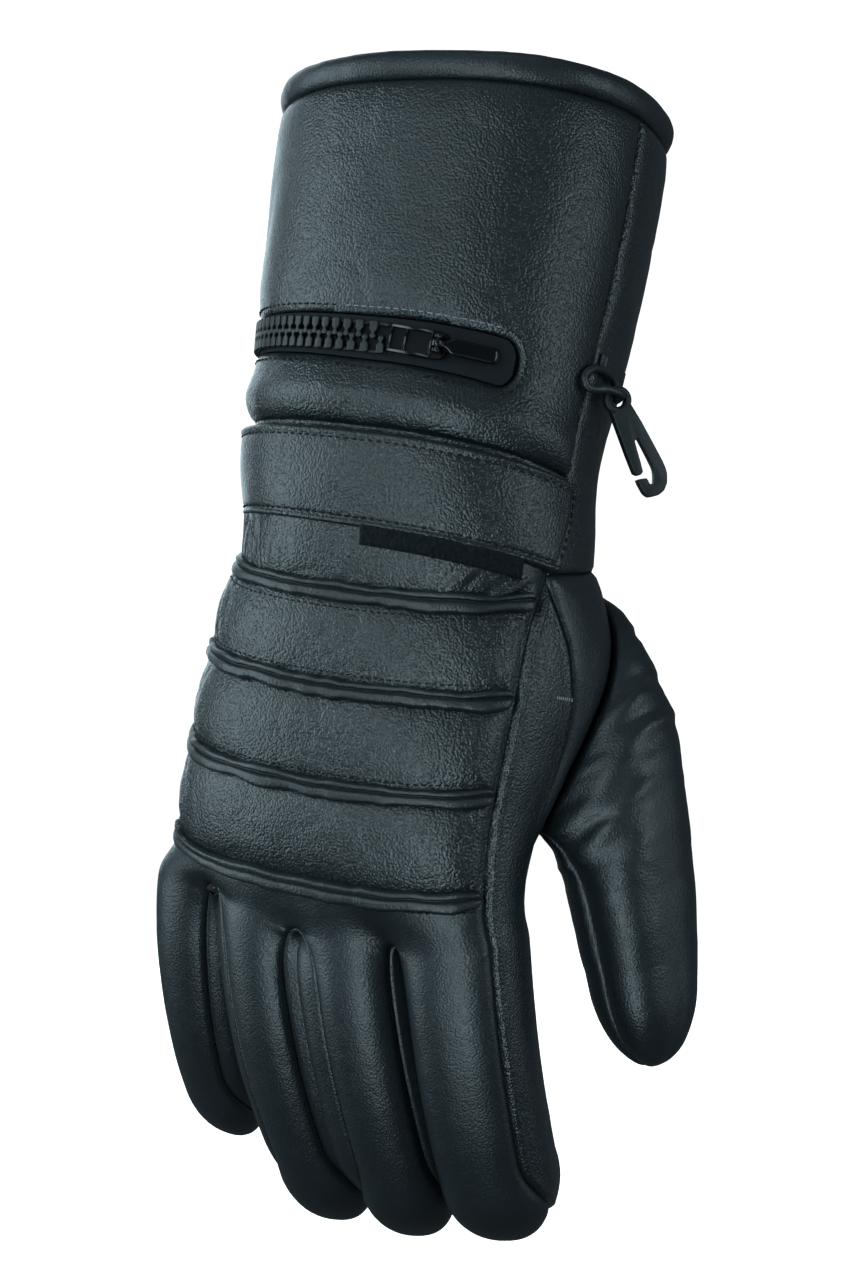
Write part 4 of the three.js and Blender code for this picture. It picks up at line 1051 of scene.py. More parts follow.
def finger_folds(sheet):
    """Slow swellings over smooth fingers, and small tucks at the crotches: noise that fades
    away from the seam."""
    p = sheet["points"]
    near_crotch = bell(sheet["map"][:, 1], 3.6, 0.8) * bell(sheet["edge"], 0, 5)
    return 1.2 * near_crotch * noise(p, (2.6, 2.6, 9), 73) + waves(p, 75, (0.4, 30), (0.10, 11), (0.04, 3.4))


def palm_folds(sheet):
    """The fingers' swellings, and over the hand itself the deeper folds of leather that has
    been closed often."""
    hand = ease((sheet["points"][:, 2] + 250) / 40)
    return finger_folds(sheet) + hand * soft_folds(0.9, 79)(sheet)


def thumb_hole(sheet):
    """Leaves the palm's faces out inside the thumb's oval and moves their outer neighbours onto it."""
    p = sheet["points"]
    u, v = sheet["map"][:, 2], sheet["map"][:, 3]
    dv = v - THUMB_LOOP["v"]
    du = u - THUMB_LOOP["u"] + THUMB_LOOP["skew"] * dv / THUMB_LOOP["half_v"]
    reach = np.hypot(du / THUMB_LOOP["half_u"], dv / THUMB_LOOP["half_v"])
    inside = reach < 1
    keep = ~inside[sheet["faces"]].all(1)
    scale = np.where(inside, 1 / np.maximum(reach, 0.05), 1)
    new_v = THUMB_LOOP["v"] + dv * scale
    new_u = THUMB_LOOP["u"] + du * scale - THUMB_LOOP["skew"] * dv * scale / THUMB_LOOP["half_v"]
    near_edge = inside & (reach > 0.6)
    onto_edge = sleeve(np.where(near_edge, new_u, u), np.where(near_edge, new_v, v))
    shift = np.where(near_edge[:, None], onto_edge - sleeve(u, v), 0)
    return compact({**sheet, "points": p + shift}, keep)


def placed_on_sleeve(grids):
    """Adds to each grid's map the turn and row of the sleeve that each point came from."""
    out = []
    for k, (points, places) in enumerate(grids):
        column, step = places[..., 0], places[..., 1]
        if k == 0:
            u, v = palm_place(column, step)
        else:
            row_turn = front_face(k - 1)["row_turn"](column)
            v = hand_row(step, row_turn)
            u = front_face(k - 1)["sleeve"](column, np.minimum(v, 1.0))
        out.append((points, np.concatenate([places, u[..., None], v[..., None]], -1)))
    return out


def at_crotch(sheet):
    """Softened most where the hand turns into fingers, so that no line shows across them."""
    return 0.75 * bell(sheet["map"][:, 1], CROTCH_STEP, 2.2)


leather("finger_backs", finger_grids(back_face, 0.0), finger_folds, soften=at_crotch, hide=SMOOTH_HIDE)
palm_starts = np.cumsum([0, *COLUMNS[::-1]])
hand_columns = np.unique(np.concatenate([palm_starts[3 - i] + COLUMNS[i] * finger_columns(i)
                                         for i in range(4)]))
palm_grids = [grid(palm_surface, hand_columns, spread(WRIST_STEP, RIB_STEPS[2], length=62)),
              *finger_grids(front_face, -float(EARLY_ROWS))]
leather("palm", placed_on_sleeve(palm_grids), palm_folds, hole=thumb_hole, hide=SMOOTH_HIDE)
strip_rows = np.concatenate([spread(WRIST_STEP, RIB_STEPS[3], length=88)[:-1],
                             RIB_STEPS[3] + finger_rows(0.0, POINT_STEP)])
leather("side_strip", [grid(strip_surface, spread(0, 1, FINE, 28), strip_rows)], soft_folds(0.7, 81),
        shape=lambda d: edge_shape(d, puff=0.5, reach=3.5, dive=1.2) + 0.7 * bell(d, 1.9, 1.1))
web_half = finger_rows(0.0, POINT_STEP)
web_half = web_half[web_half >= CROTCH_STEP] - CROTCH_STEP
web_rows = np.concatenate([-web_half[::-1], web_half[1:]])
for i, (pair, full) in enumerate({"little_ring": 1.5, "ring_middle": 4.3, "middle_index": 1.0}.items()):
    surface = lambda column, run, i=i: web_point(i, column, run)
    leather(f"fourchette_{pair}", [grid(surface, spread(1, 0, FINE, 18), web_rows)], soft_folds(0.4, 91 + i),
            wall=1.6, trim=0.1, hide=SMOOTH_HIDE, soften=lambda sheet: 0.6 * bell(sheet["map"][:, 1], 0, 3),
            shape=lambda d, full=full: edge_shape(d, puff=full, reach=4.5, dive=0.5))


# %% Thumb
def thumb_folds(sheet):
    """Creases where the thumb bends out of the palm, and a long soft swelling down its back."""
    p, row = sheet["points"], sheet["map"][:, 1]
    bent = 1.2 * slanted(p, 35, 16, 4.5, 101) + 0.5 * slanted(p, 20, 9, 2.6, 103)
    return bell(row, 3.0, 2.2) * bent + soft_folds(0.9, 105)(sheet)


thumb_rows = np.unique(np.round(np.concatenate([
    *[spread(k, k + 1, FINE, 118 * (THUMB_ROWS[k + 1] - THUMB_ROWS[k])) for k in range(len(THUMB_ROWS) - 1)],
    spread(len(THUMB_ROWS) - 1, THUMB_LAST, FINE, 28)]), 6))
for k, name in enumerate(("thumb_back", "thumb_palm")):
    leather(name, [grid(thumb_point, spread(0.5 * k, 0.5 * k + 0.5, FINE, 66), thumb_rows)], thumb_folds,
            trim=0.15, hide=SMOOTH_HIDE)

# %% [markdown]
# ## Rim roll and welts
# The cuff's mouth is bound with a padded roll, and each seam across the back is covered by a welt: a
# narrow lip above a wider roll, with a deep line between them. Both are one closed outline carried along
# the seam. The outline shrinks to nothing over the last three millimetres, which rounds the ends.

# %% Outlines carried along a line
def carry(centre, side, up, section, closed=False):
    """A closed outline at each station of a line. section: stations by outline points by
    (side, up) in mm."""
    points = centre[:, None] + section[..., 0:1] * side[:, None] + section[..., 1:2] * up[:, None]
    n, m = points.shape[:2]
    ids = np.arange(n * m).reshape(n, m)
    if closed:
        ids = np.concatenate([ids, ids[:1]])
    faces = [cells(looped(ids))]
    points = points.reshape(-1, 3)
    if not closed:
        for end, ring in ((0, ids[0]), (1, ids[-1])):
            middle = len(points)
            points = np.concatenate([points, points[ring].mean(0, keepdims=True)])
            after = np.roll(ring, -1)
            fan = np.stack([np.full(m, middle), ring, after], -1)
            faces.append(fan if end else fan[:, [0, 2, 1]])
    return points, np.concatenate(faces)


def seat(u, v, away=0.0):
    """On the sleeve: the point, the direction up the sleeve and the outward direction."""
    out = outward(sleeve, u, v)
    along = unit(sleeve(u + 1e-3, v) - sleeve(u - 1e-3, v))
    return sleeve(u, v) + np.asarray(away)[..., None] * out, np.cross(out, along), out


def rim_roll():
    """Round the mouth: an oval whose size and place waver a little, with small puckers on its
    inner side."""
    u = np.linspace(0, 1, 320, endpoint=False)
    loop = vectors(60 * np.cos(2 * np.pi * u), 60 * np.sin(2 * np.pi * u), 0)
    sag = 0.55 * noise(loop, 21, 201) + 0.3 * noise(loop, 8, 203)
    centre, up, out = seat(u, 0 * u, LIFT + 0.3 - RIM_THICKNESS / 2 + 0.5 * sag)
    angle = turns_of(28)
    size = 1 + 0.035 * noise(loop, 12, 205)[:, None] + 0.02 * noise(loop, 4, 206)[:, None]
    pucker = 0.28 * noise(loop, 2.6, 207)[:, None] * np.clip(-np.sin(angle + 0.4), 0, 1) ** 2
    across = RIM_HEIGHT / 2 * squarer(np.cos(angle), 0.9)
    section = np.stack([across * size, (RIM_THICKNESS / 2 * np.sin(angle)) * size + pucker], -1)
    points, faces = carry(centre, up, out, section, closed=True)
    make("rim_roll", points, faces, [SMOOTH_HIDE], "rim_binding", "binding")
    print("rim roll:", len(faces), "triangles")


def welt_height(x):
    """Lip and roll side by side: the taller of two half ovals at each place x across the welt,
    up the sleeve."""
    roll = 1.45 * np.clip(1 - np.abs((x + 1.2) / 1.75) ** 3, 0, 1) ** 0.6
    lip = 1.35 * np.clip(1 - np.abs((x - 1.75) / 1.0) ** 3, 0, 1) ** 0.6
    return np.maximum(roll, lip)


def welt(i):
    """The welt over rib i: its outline wavers, and both its ends are rounded."""
    first = 0.12 if i < 3 else 1.0
    column = spread(first, ALL_COLUMNS - 0.12, 1.0, 172)
    share = share_at(BACK_SHARES, COLUMNS, column)
    v = rib_row(i, SEAM * share)
    centre, up, out = seat(back_turn(share, v), v, 0.6 + 0 * v)
    run = np.r_[0, np.cumsum(np.linalg.norm(np.diff(centre, axis=0), axis=1))]
    from_end = np.minimum(run, run[-1] - run)
    shrink = bulge(from_end / 2.6, 0.004)[:, None]
    p = vectors(run, 0, 0)
    wave = 0.5 * noise(p, 24, 301 + i) + 0.35 * noise(p, 9, 311 + i) + 0.12 * noise(p, 3.5, 321 + i)
    swell = (1 + 0.16 * noise(p, 11, 331 + i) + 0.12 * noise(p, 4, 341 + i))[:, None]
    x = np.concatenate([np.linspace(2.8, -3.0, 31), [-3.0, 0, 2.8]])
    y = np.concatenate([welt_height(x[:31]), [-2.2, -2.2, -2.2]])
    section = np.stack([x * shrink * swell + 0.8 * wave[:, None], y * shrink * np.where(y > 0, swell, 1)], -1)
    points, faces = carry(centre, up, out, section)
    make(f"welt_roll_{i + 1}", points, faces, [SMOOTH_HIDE], f"welt_{i + 1}")
    return len(faces)


rim_roll()
print("welts:", [welt(i) for i in range(4)], "triangles")

# %% [markdown]
# ## Wrist strap and its fastener
# The strap is a folded band sewn along both edges and across its free end. Below it a strip of black pile
# shows, which the strap's hooks would catch. Hair particles would be heavy for a strip this small, so its
# surface is a fine grid with every point at its own random height.

# %% Strap and pile
STRAP_DROP, STRAP_WIDTH, STRAP_THICKNESS, STRAP_LIFT = 1.5, 25.7, 1.8, 0.85
STRAP_FROM, STRAP_TO, PATCH_FROM, PATCH_TO = 0.004, 0.476, 0.253, 0.42
STITCH_INSET = 2.7
PILE_TUCKED, PILE_SHOWN, PILE_HEIGHT = 1.4, 4.2, 3.5


def strap_point(u, down):
    """The sleeve at a turn and at a drop in mm below the cuff's lower edge."""
    v = fold_row(u) + down / TRUNK
    return sleeve(back_turn(u / SEAM, v), v)


def strap():
    """Wall over the sleeve: rounded edges, a rolled upper edge, a thin lip below and a line
    pressed in by stitches."""
    sheet = prepare([grid(strap_point, spread(STRAP_FROM, STRAP_TO, 0.9, 175),
                          spread(STRAP_DROP, STRAP_DROP + STRAP_WIDTH, 0.55))])
    p, d, down = sheet["points"], sheet["edge"], sheet["map"][:, 1] - STRAP_DROP
    below = STRAP_WIDTH - down
    rolled = 0.55 * bell(down, 1.3, 1.0)
    lip = 0.35 * bell(below, 0.9, 0.7) - 0.35 * bell(below, 2.1, 0.45)
    pressed = -0.30 * bell(d, STITCH_INSET, 0.6)
    padded = 0.9 * np.sin(np.pi * np.clip(down / STRAP_WIDTH, 0, 1))
    soft = 0.45 * noise(p, 24, 401) + 0.12 * noise(p, 7, 403) + padded
    ripple = 0.12 * bell(d, STITCH_INSET, 2.0) * noise(p, (3, 3, 8), 405)
    shaped = (rolled + lip + pressed + soft + ripple) * ease(d / 0.8)
    sheet["height"] = STRAP_LIFT + STRAP_THICKNESS * bulge(d / 1.1) + shaped
    PANELS["wrist_strap"] = sheet
    points, faces, _ = close_wall(sheet, sheet["height"], np.full(len(p), 0.3), 0.0)
    make("strap_band", points, faces, [HIDE], "wrist_strap")


def pile_strip():
    """Loops of pile: every point of a fine grid at its own height, lower towards the edges."""
    top = STRAP_DROP + STRAP_WIDTH - PILE_TUCKED
    upright = lambda u, down: strap_point(u + 0.35 * (down - top) / GIRTH, down)
    rows = spread(top, top + PILE_TUCKED + PILE_SHOWN, 0.34)
    sheet = prepare([grid(upright, spread(PATCH_FROM, PATCH_TO, 0.34, 60), rows)])
    d = sheet["edge"]
    tuft = 0.5 * noise(sheet["points"], 0.7, 411) + 0.45 * noise(sheet["points"], 0.4, 413)
    high = PILE_HEIGHT + 1.2 * tuft * ease(d / 0.8) - 1.0 * ease(1 - d / 0.9)
    points, faces, _ = close_wall(sheet, high, np.full(len(d), 0.1), 0.0)
    make("pile_strip", points, faces, [PILE], "loop_patch", "fabric")


strap()
pile_strip()
print("strap points:", len(PANELS["wrist_strap"]["points"]))

# %% [markdown]
# ## The pocket's zip
# A coarse moulded zip: each tooth is a block clamped on the tape with a narrow neck and a round head, and
# the heads of the two rows lock between each other. The slider is a metal box in black enamel with a
# bridge for its pull. The pull is the only part that moves, so it rides on its own body.

# %% Zip: tape, teeth, slider and pull
def outline_solid(outline, low, high, bevel=0.25, steps=3):
    """A flat outline made solid, its top and bottom edges rounded by shrinking the outline
    towards its middle."""
    outline = np.asarray(outline, float)
    before, after = np.roll(outline, 1, 0), np.roll(outline, -1, 0)
    flow = unit(after - before)
    inward = np.stack([-flow[:, 1], flow[:, 0]], -1)
    angle = np.linspace(0, np.pi / 2, steps + 1)
    inset = np.concatenate([bevel * (1 - np.sin(angle)), bevel * (1 - np.sin(angle[::-1]))])
    level = np.concatenate([low + bevel * (1 - np.cos(angle)), high - bevel * (1 - np.cos(angle[::-1]))])
    n = len(outline)
    rings = np.concatenate([np.column_stack([outline + inward * i, np.full(n, z)])
                            for i, z in zip(inset, level)])
    ids = np.arange(len(rings)).reshape(-1, n)
    cap = ears(rings[ids[-1], :2])
    return rings, np.concatenate([cells(looped(ids)), ids[-1][cap], ids[0][cap][:, ::-1]])


def ears(outline):
    """Cuts a flat outline into triangles by taking off one ear at a time."""
    left, found = list(range(len(outline))), []
    cross = lambda o, p, q: (p[0] - o[0]) * (q[1] - o[1]) - (p[1] - o[1]) * (q[0] - o[0])
    while len(left) > 3:
        for k in range(len(left)):
            i, j, m = left[k - 1], left[k], left[(k + 1) % len(left)]
            a, b, c = outline[i], outline[j], outline[m]
            rest = outline[[x for x in left if x not in (i, j, m)]].T
            clear = ~((cross(a, b, rest) >= 0) & (cross(b, c, rest) >= 0) & (cross(c, a, rest) >= 0)).any()
            if cross(a, b, c) > 1e-12 and clear:
                break
        else:
            k, (i, j, m) = 0, (left[-1], left[0], left[1])
        found.append((i, j, m))
        left.pop(k)
    return np.array(found + [tuple(left)])


def join(parts):
    """Several pieces of points and triangles as one."""
    starts = np.cumsum([0] + [len(p) for p, _ in parts])
    return np.concatenate([p for p, _ in parts]), np.concatenate([f + s for (_, f), s in zip(parts, starts)])


def smooth_outline(corners, parts=4):
    """A closed curve through the corners: a cubic whose slope at each corner is half the line past it."""
    p = np.asarray(corners, float)
    before, after, further = np.roll(p, 1, 0), np.roll(p, -1, 0), np.roll(p, -2, 0)
    t = np.arange(parts)[:, None, None] / parts
    curve = ((2 * t**3 - 3 * t**2 + 1) * p + (t**3 - 2 * t**2 + t) * (after - before) / 2
             + (3 * t**2 - 2 * t**3) * after + (t**3 - t**2) * (further - p) / 2)
    return curve.transpose(1, 0, 2).reshape(-1, p.shape[1])


def moved(part, x, y, z, point):
    """A piece drawn in x, y, z, put at a place by its three directions."""
    points, faces = part
    return points @ np.stack([x, y, z]) + point, faces


def moved_all(parts, x, y, z):
    """Pieces given with their own places, all turned the same way and joined."""
    return join([moved(part, x, y, z, point) for part, point in parts])


def ring_of(radius, parts, section):
    """A closed ring in the x, y plane: a section carried round a circle."""
    middle = vectors(*oval(turns_of(parts), radius, radius).T, 0)
    section = np.broadcast_to(section, (parts, *section.shape))
    return carry(middle, unit(middle), np.broadcast_to([0, 0, -1.0], middle.shape), section, closed=True)


CHAIN_FLOOR = -0.9
CHAIN_WIDTH, TOOTH_PITCH = 7.8, 3.5
SLIDER_TURN, SLIDER_LENGTH, SLIDER_WIDTH, SLIDER_HEIGHT = 0.276, 17.5, 9.0, 2.2
CHAIN_END = SLIDER_TURN - 7.4 / GIRTH
TAPE_END = 5.1


def tape():
    """Woven tape in the opening, ribbed along its edges."""
    round_end = TAPE_END / GIRTH * np.sin(np.radians([15, 30, 45, 60, 75, 88]))

    def surface(u, side):
        """The tape's strip of the cuff: its half height closes like an ellipse past the opening's end."""
        closing = np.sqrt(np.clip(1 - (np.maximum(u - ZIP_TO, 0) * GIRTH / (TAPE_END + 0.3)) ** 2, 0, 1))
        return sleeve(u, zip_row(u) + side * (window_half(u) - 0.3) / TRUNK * closing)

    columns = np.r_[spread(ZIP_FROM, ZIP_TO, 0.8, 115), ZIP_TO + round_end]
    sheet = prepare([grid(surface, columns, np.linspace(-1, 1, 30))])
    level = sheet["map"][:, 1]
    weave = 0.12 * np.sin(sheet["map"][:, 0] * GIRTH * 2 * np.pi / 1.3) * (np.abs(level) > 0.62)
    points, faces, _ = close_wall(sheet, -1.2 + weave, np.full(len(level), -2.2), 0.1)
    make("pocket_tape", points, faces, [TAPE], "zip_tape", "fabric")


TOOTH_HALF = [(-1.5, -1.2), (-0.2, -1.3), (1.1, -1.3), (1.75, -0.62), (2.4, -0.5), (2.9, -0.98), (3.7, -0.9)]
TOOTH = smooth_outline([*TOOTH_HALF, (4.1, 0), *[(x, -y) for x, y in TOOTH_HALF[::-1]]], 2)


def teeth(side, name):
    """A row of teeth along the tape's middle: each one is placed on the cuff and reaches
    across to the other row."""
    first = ZIP_FROM + 0.008 + (TOOTH_PITCH / 2 / GIRTH if side > 0 else 0)
    u = np.arange(first, CHAIN_END - 0.001, TOOTH_PITCH / GIRTH)
    down = side * (CHAIN_WIDTH / 2 - 0.9)
    points, up, out = seat(u, zip_row(u) + down / TRUNK, CHAIN_FLOOR + 0 * u)
    along = np.cross(up, out)
    tooth = outline_solid(TOOTH * 0.93, 0.0, 1.75, 0.3)
    parts = [moved(tooth, up[k] * side, -along[k] * side, out[k], points[k]) for k in range(len(u))]
    cord = spread(ZIP_FROM + 0.004, CHAIN_END, 1.2, 85)
    seats = seat(cord, zip_row(cord) + side * CHAIN_WIDTH / 2 / TRUNK, CHAIN_FLOOR + 0.35 + 0 * cord)
    parts.append(carry(*seats, np.broadcast_to(oval(turns_of(8), 0.6, 0.4), (len(cord), 8, 2))))
    make(name + "_row", *join(parts), [MOULDED], name, "plastic")
    return len(u)


def slider_frame():
    """Slider's place: x along the zip, y up the cuff, z outwards."""
    place = lambda u: sleeve(u, zip_row(u))
    out = outward(sleeve, SLIDER_TURN, zip_row(SLIDER_TURN))
    point = place(np.float64(SLIDER_TURN)) + CHAIN_FLOOR * out
    along = place(np.float64(SLIDER_TURN + 0.01)) - place(np.float64(SLIDER_TURN))
    along = unit(along - (along @ out) * out)
    return point, along, np.cross(out, along), out


def rod(radius, length, sides=20):
    """A round bar along z with softened ends, centred on its middle."""
    return outline_solid(oval(turns_of(sides), radius, radius), -length / 2, length / 2, 0.15, 2)


SLIDER_AT, ALONG, CUFFWARD, OUTWARD = slider_frame()
PIN_X, PIN_Z = 0.40 * SLIDER_LENGTH, SLIDER_HEIGHT + 0.65 + 1.45
PIN_AT = SLIDER_AT + ALONG * PIN_X + OUTWARD * PIN_Z
EYE_WIDTH = 2.6


def slider():
    """Body with raised side walls and a sunk window, two ears and the pin between them."""
    half = SLIDER_WIDTH / 2
    body = smooth_outline([(-8.6, -3.4), (-4, -3.9), (0, -4.3), (6, -4.2), (8.6, -3.2), (9.6, 0), (8.6, 3.2),
                           (6, 4.2), (0, 4.3), (-4, 3.9), (-8.6, 3.4), (-8.75, 0)], 5)
    wall = [(-8.4, -0.45), (4.2, -0.45), (4.9, 0), (4.2, 0.45), (-8.4, 0.45)]
    bar = [(-0.35, -half + 0.9), (0.35, -half + 0.9), (0.35, half - 0.9), (-0.35, half - 0.9)]
    floor = outline_solid(body, 0.0, 1.5, 0.4)
    flat = [(floor, SLIDER_AT)]
    flat += [(outline_solid(wall, 1.2, SLIDER_HEIGHT + 0.05, 0.2), SLIDER_AT + CUFFWARD * y * (half - 0.85))
             for y in (-1, 1)]
    flat += [(outline_solid(bar, 1.2, SLIDER_HEIGHT - 0.05, 0.15), SLIDER_AT + ALONG * x)
             for x in (-8.2, -3.6, 4.2)]
    ear = smooth_outline([(-1.7, -PIN_Z + 1.3), (1.2, -PIN_Z + 1.3), (1.15, 0.4), (0.6, 1.0), (-0.6, 1.0),
                          (-1.15, 0.4)], 3)
    upright = [(outline_solid(ear, start, start + 1.0, 0.2), PIN_AT)
               for start in (EYE_WIDTH / 2 + 0.3, -EYE_WIDTH / 2 - 1.3)]
    upright.append((rod(0.6, EYE_WIDTH + 2.2), PIN_AT))
    points, faces = join([moved_all(flat, ALONG, CUFFWARD, OUTWARD),
                          moved_all(upright, ALONG, OUTWARD, -CUFFWARD)])
    # The floor plate's faces, seen through the window, take the darker enamel copy as painted shade.
    painted_shade_faces = np.arange(len(faces)) < len(floor[1])
    make("slider_box", points, faces, [ENAMEL, PAINTED_SHADE_ENAMEL], "zip_slider", "enamel", second=painted_shade_faces)


PULL_SLOPE, PULL_START, PULL_END, PULL_CLOSING = np.radians(22), 1.25, 18.4, 2.0


def pull():
    """Pull: an eye round the pin, and a bar whose oblong section widens past its neck and
    closes round its end."""
    along = ALONG * np.cos(PULL_SLOPE) - OUTWARD * np.sin(PULL_SLOPE)
    out = np.cross(along, CUFFWARD)
    round_end = PULL_CLOSING * (1 - np.sin(np.radians(np.linspace(12, 88, 9))))
    x = np.r_[np.linspace(PULL_START, PULL_END - PULL_CLOSING, 40), PULL_END - round_end]
    closing = bulge((PULL_END - x) / PULL_CLOSING, 0.002)[:, None]
    angle = turns_of(24)
    wide = (1.0 + 1.5 * ease((x - 2.0) / 2.6))[:, None] * closing
    section = np.stack([wide * squarer(np.cos(angle), 0.7), 1.25 * closing * squarer(np.sin(angle), 0.7)], -1)
    level = np.zeros_like(x)
    bar = carry(vectors(x, 0, 0), vectors(level, 1, 0), vectors(level, 0, 1), section)
    eye = ring_of(1.38, 24, oval(turns_of(10), 0.42, 1.25))
    parts = [moved(bar, along, CUFFWARD, out, PIN_AT), moved(eye, along, out, -CUFFWARD, PIN_AT)]
    make("pull_bar", *join(parts), [ENAMEL], "zip_pull", "enamel", body="pull")


tape()
print("teeth:", teeth(-1, "zip_teeth_upper"), teeth(1, "zip_teeth_lower"))
slider()
pull()

# %% [markdown]
# ## Hanging loop and snap hook
# A small leather tab is sewn over the cuff's side seam, and a round lace from it carries a plastic snap
# hook. The lace is a closed curve through nine places on the sleeve, and a round section is carried along
# it. The hook is one flat outline with rounded edges.

# %% Tab, lace and hook
TAB_TURN, TAB_TURNS, TAB_V, TAB_WIDTH = 0.476, 0.052, 0.312, 5.6
HOOK_TURN, HOOK_V, HOOK_AWAY = 0.494, 0.346, 5.6
FACING, SWING = np.radians(37), np.radians(24)
LACE = ((0, 0, 5.6), (-2.6, -1.0, 8.0), (-7.6, -0.8, 6.2), (-12.6, 0.4, 3.3), (-15, -2.2, 2.0),
        (-11.6, -5.4, 2.0), (-4.6, -6.4, 2.0), (1.4, -5.6, 2.4), (2.9, -1.8, 3.5))


def loop_and_tab():
    """Tab: a thick little wall with rounded edges. Lace: a round section on a closed curve,
    knotted by its own turn."""
    half = TAB_WIDTH / 2 / TRUNK
    sheet = prepare([grid(sleeve, spread(TAB_TURN, TAB_TURN + TAB_TURNS, 0.5, 17),
                          spread(TAB_V - half, TAB_V + half, 0.4, TAB_WIDTH))])
    d = sheet["edge"]
    high = LIFT + 1.7 * bulge(d / 0.9) - 0.25 * bell(d, 1.5, 0.35)
    tab = close_wall(sheet, high, np.full(len(d), 0.0), 0.0)[:2]
    corners = [seat(HOOK_TURN + r / GIRTH, HOOK_V + down / TRUNK, away)[0] for r, down, away in LACE]
    curve = smooth_outline(np.array(corners), 9)
    flow = unit(np.roll(curve, -1, 0) - np.roll(curve, 1, 0))
    away = unit(curve - curve.mean(0))
    side = unit(np.cross(flow, away))
    up = np.cross(flow, side)
    section = np.broadcast_to(oval(turns_of(12), 1.2, 1.2), (len(curve), 12, 2))
    lace = carry(curve, side, up, section, closed=True)
    make("tab_and_lace", *join([tab, lace]), [SMOOTH_HIDE], "hang_loop")


HOOK = [(0.33, 0.04), (0.545, 0.65), (0.515, 0.733), (0.395, 0.81), (0.22, 0.857), (0.005, 0.873),
        (-0.30, 0.859), (-0.395, 0.813), (-0.445, 0.677), (-0.12, 0.697), (-0.105, 0.76), (0.03, 0.768),
        (0.125, 0.71), (0.185, 0.65), (0.11, 0.367), (-0.025, 0.361), (-0.15, 0.655), (-0.455, 0.65),
        (-0.366, 0.14), (-0.33, 0.04)]
HOOK_SIZE = (10.0, 35.0)


def hook():
    """Snap hook: the outline with rounded edges, and a ring for its eye."""
    side = np.array([np.cos(FACING), np.sin(FACING), 0])
    front = np.array([np.sin(FACING), -np.cos(FACING), 0])
    across = side * np.cos(SWING) + UP * np.sin(SWING)
    down = side * np.sin(SWING) - UP * np.cos(SWING)
    centre = seat(HOOK_TURN, HOOK_V, HOOK_AWAY)[0]
    outline = np.array(HOOK) * HOOK_SIZE
    after = np.roll(outline, -1, 0)
    flat = np.stack([lerp(outline, after, t) for t in (0, 0.33, 0.67)], 1).reshape(-1, 2)
    outline = flat * 0.7 + 0.15 * (np.roll(flat, 1, 0) + np.roll(flat, -1, 0))
    outline[:, 1] = np.maximum(outline[:, 1], 2.3)
    parts = [moved(outline_solid(outline, -1.8, 1.8, 0.55, 4), across, down, -front, centre)]
    sides = turns_of(12)
    section = np.stack([1.2 * np.cos(sides), 1.8 * squarer(np.sin(sides), 0.7)], -1)
    parts.append(moved(ring_of(3.15, 32, section), across, down, -front, centre))
    make("hook_body", *join(parts), [MOULDED], "snap_hook", "plastic")


loop_and_tab()
hook()
print("hook and loop made")

# %% [markdown]
# ## Stitches
# Rows of black thread hold the strap, run under each welt and round the pocket; one bar of pale thread
# locks the end of the side strip. Each stitch is a short capsule that dips into the leather at both ends.
# All the stitches of a row are made at once from the points on its line, and each is set on the panel
# that it holds.

# %% Rows of stitches
def stitch_row(panel, line, pitch=2.6, length=1.9, thick=0.28, lift=0.02):
    """Capsules along a line of points on the sleeve: each end is set on the nearest point of
    the panel's surface."""
    sheet = PANELS[panel]
    run = np.r_[0, np.cumsum(np.linalg.norm(np.diff(line, axis=0), axis=1))]
    starts = np.arange(0.4, run[-1] - length, pitch)
    at = lambda s: np.stack([np.interp(s, run, line[:, k]) for k in range(3)], -1)
    stations = np.linspace(0, 1, 7)
    samples = at((starts[:, None] + stations * length).ravel())
    _, index = nearest(samples, sheet["points"])
    out = sheet["normals"][index]
    flat = samples - ((samples - sheet["points"][index]) * out).sum(-1, keepdims=True) * out
    height = sheet["height"][index].reshape(len(starts), -1)
    height = (height + height.mean(1, keepdims=True)) / 2
    arch = np.sin(np.pi * stations) * 1.1 - 0.55
    centre = (flat + out * (height + lift + thick * arch).reshape(-1, 1)).reshape(len(starts), 7, 3)
    out = out.reshape(len(starts), 7, 3)
    flow = unit(np.gradient(centre, axis=1))
    side = unit(np.cross(flow, out))
    up = np.cross(side, flow)
    circle = oval(turns_of(6), 1, 1)
    radius = thick * np.sqrt(np.clip(1 - (2 * stations - 1) ** 4, 0.05, 1))[None, :, None, None]
    ring = centre[:, :, None] + radius * (circle[:, :1] * side[:, :, None] + circle[:, 1:] * up[:, :, None])
    ids = np.arange(len(starts) * 42).reshape(-1, 7, 6)
    faces = [cells(looped(ids))[:, ::-1]]
    for k in range(1, 5):
        faces += [ids[:, 0][:, [0, k, k + 1]], ids[:, -1][:, [0, k + 1, k]]]
    return ring.reshape(-1, 3), np.concatenate(faces)


def sew(name, rows, thread=THREAD):
    """One object of several rows."""
    points, faces = join(rows)
    make(name, points, faces, [thread], slot="fabric")
    print(name, len(faces), "triangles")


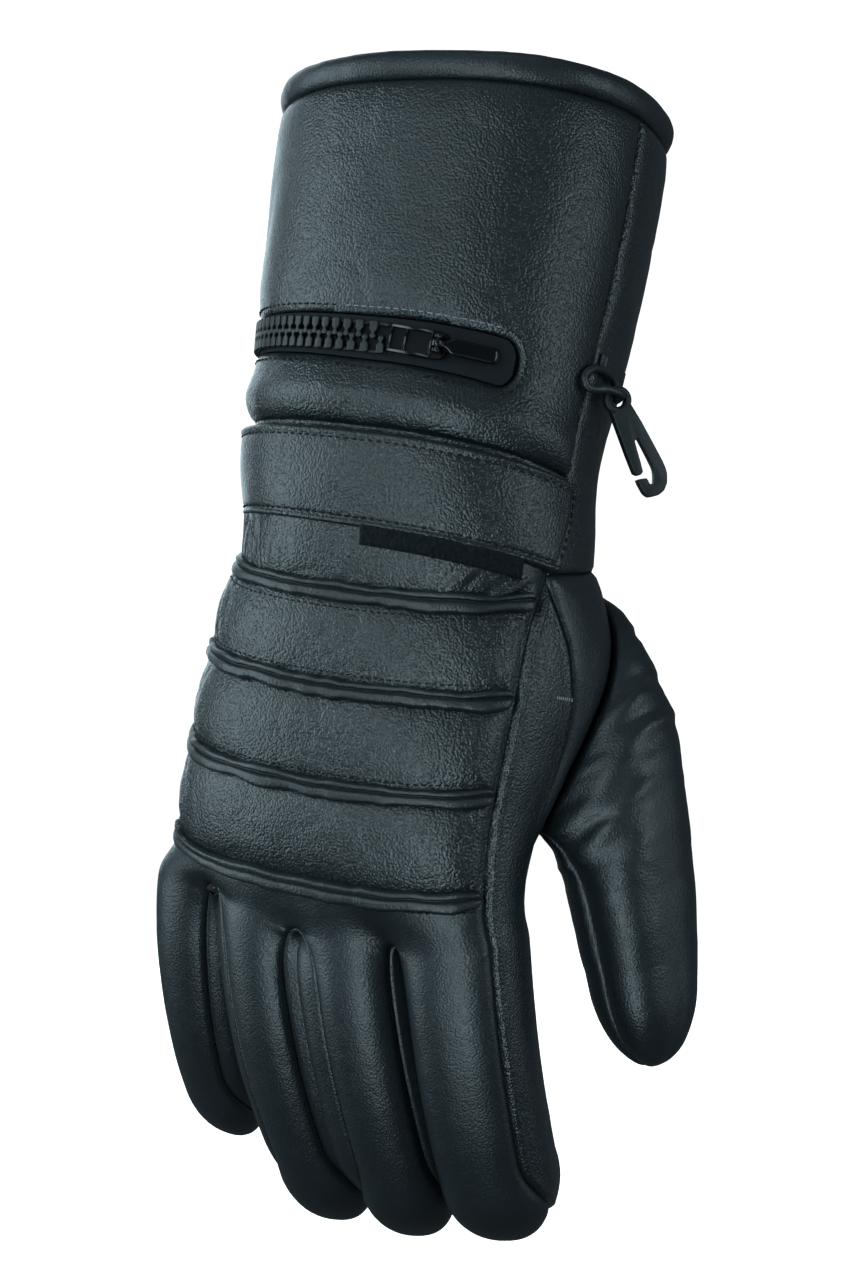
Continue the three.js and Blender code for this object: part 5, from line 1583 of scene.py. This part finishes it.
def along_rib(rib, away):
    """A line across the back, a distance in mm below a rib."""
    column = np.linspace(0.25, ALL_COLUMNS - 0.25, 220)
    step_length = (RIB_PITCH + RIB_GROWTH * (rib if away > 0 else rib - 1)) / 3
    return back_surface(column, RIB_STEPS[rib] + away / step_length + 0 * column)


def beside_zip(u, side):
    """A line a little outside the pocket's opening, above it where side is -1 and below it
    where side is 1."""
    return sleeve(u, zip_row(u) + side * (window_half(u) + POCKET_INSET) / TRUNK)


POCKET_INSET, WELT_INSET = 2.0, 4.1
whole = np.linspace(STRAP_FROM + 0.006, STRAP_TO - 0.006, 200)
strap_lines = [
    strap_point(whole, STRAP_DROP + STITCH_INSET + 0 * whole),
    strap_point(whole, STRAP_DROP + STRAP_WIDTH - 2.6 + 0 * whole),
    strap_point(np.full(20, STRAP_TO - STITCH_INSET / GIRTH),
                np.linspace(STRAP_DROP + 3, STRAP_DROP + STRAP_WIDTH - 3, 20)),
]
sew("strap_stitches", [stitch_row("wrist_strap", line) for line in strap_lines])

band_lines = [("back_band_1", along_rib(0, WELT_INSET)),
              *[(f"back_band_{rib}", along_rib(rib, -WELT_INSET)) for rib in (1, 2, 3)],
              *[("finger_backs", finger_point(i, back_face, np.linspace(0.03, 0.97, 60), np.full(60, 0.52)))
                for i in range(4)]]
sew("band_stitches", [stitch_row(panel, line, 2.2, 1.6, 0.24) for panel, line in band_lines])

zip_turns = np.linspace(ZIP_FROM + 0.004, ZIP_TO, 160)
upper_edge = beside_zip(zip_turns, -1)
bow = np.linspace(-np.pi / 2, np.pi / 2, 30)
bow_turns = ZIP_TO + (window_half(ZIP_TO) + POCKET_INSET) * np.cos(bow) / GIRTH
bow_line = beside_zip(bow_turns, np.sin(bow))
pocket_lines = (upper_edge[:95], beside_zip(zip_turns, 1), bow_line)
sew("pocket_stitches", [stitch_row("cuff_back", line) for line in pocket_lines])
# Past the slider, the upper pocket stitches are drawn thinner and in the pale grey thread.
sew("pale_pocket_stitches", [stitch_row("cuff_back", upper_edge[95:], thick=0.22, lift=0.1)], PALE_THREAD)

tack_steps = np.linspace(11.68, 11.88, 8)
sew("bar_tack", [stitch_row("side_strip", strip_surface(np.full(8, place), tack_steps), 9, 1.2, 0.2, 0.1)
                 for place in np.linspace(0.68, 0.96, 9)], PALE_THREAD)
print("stitch rows made")
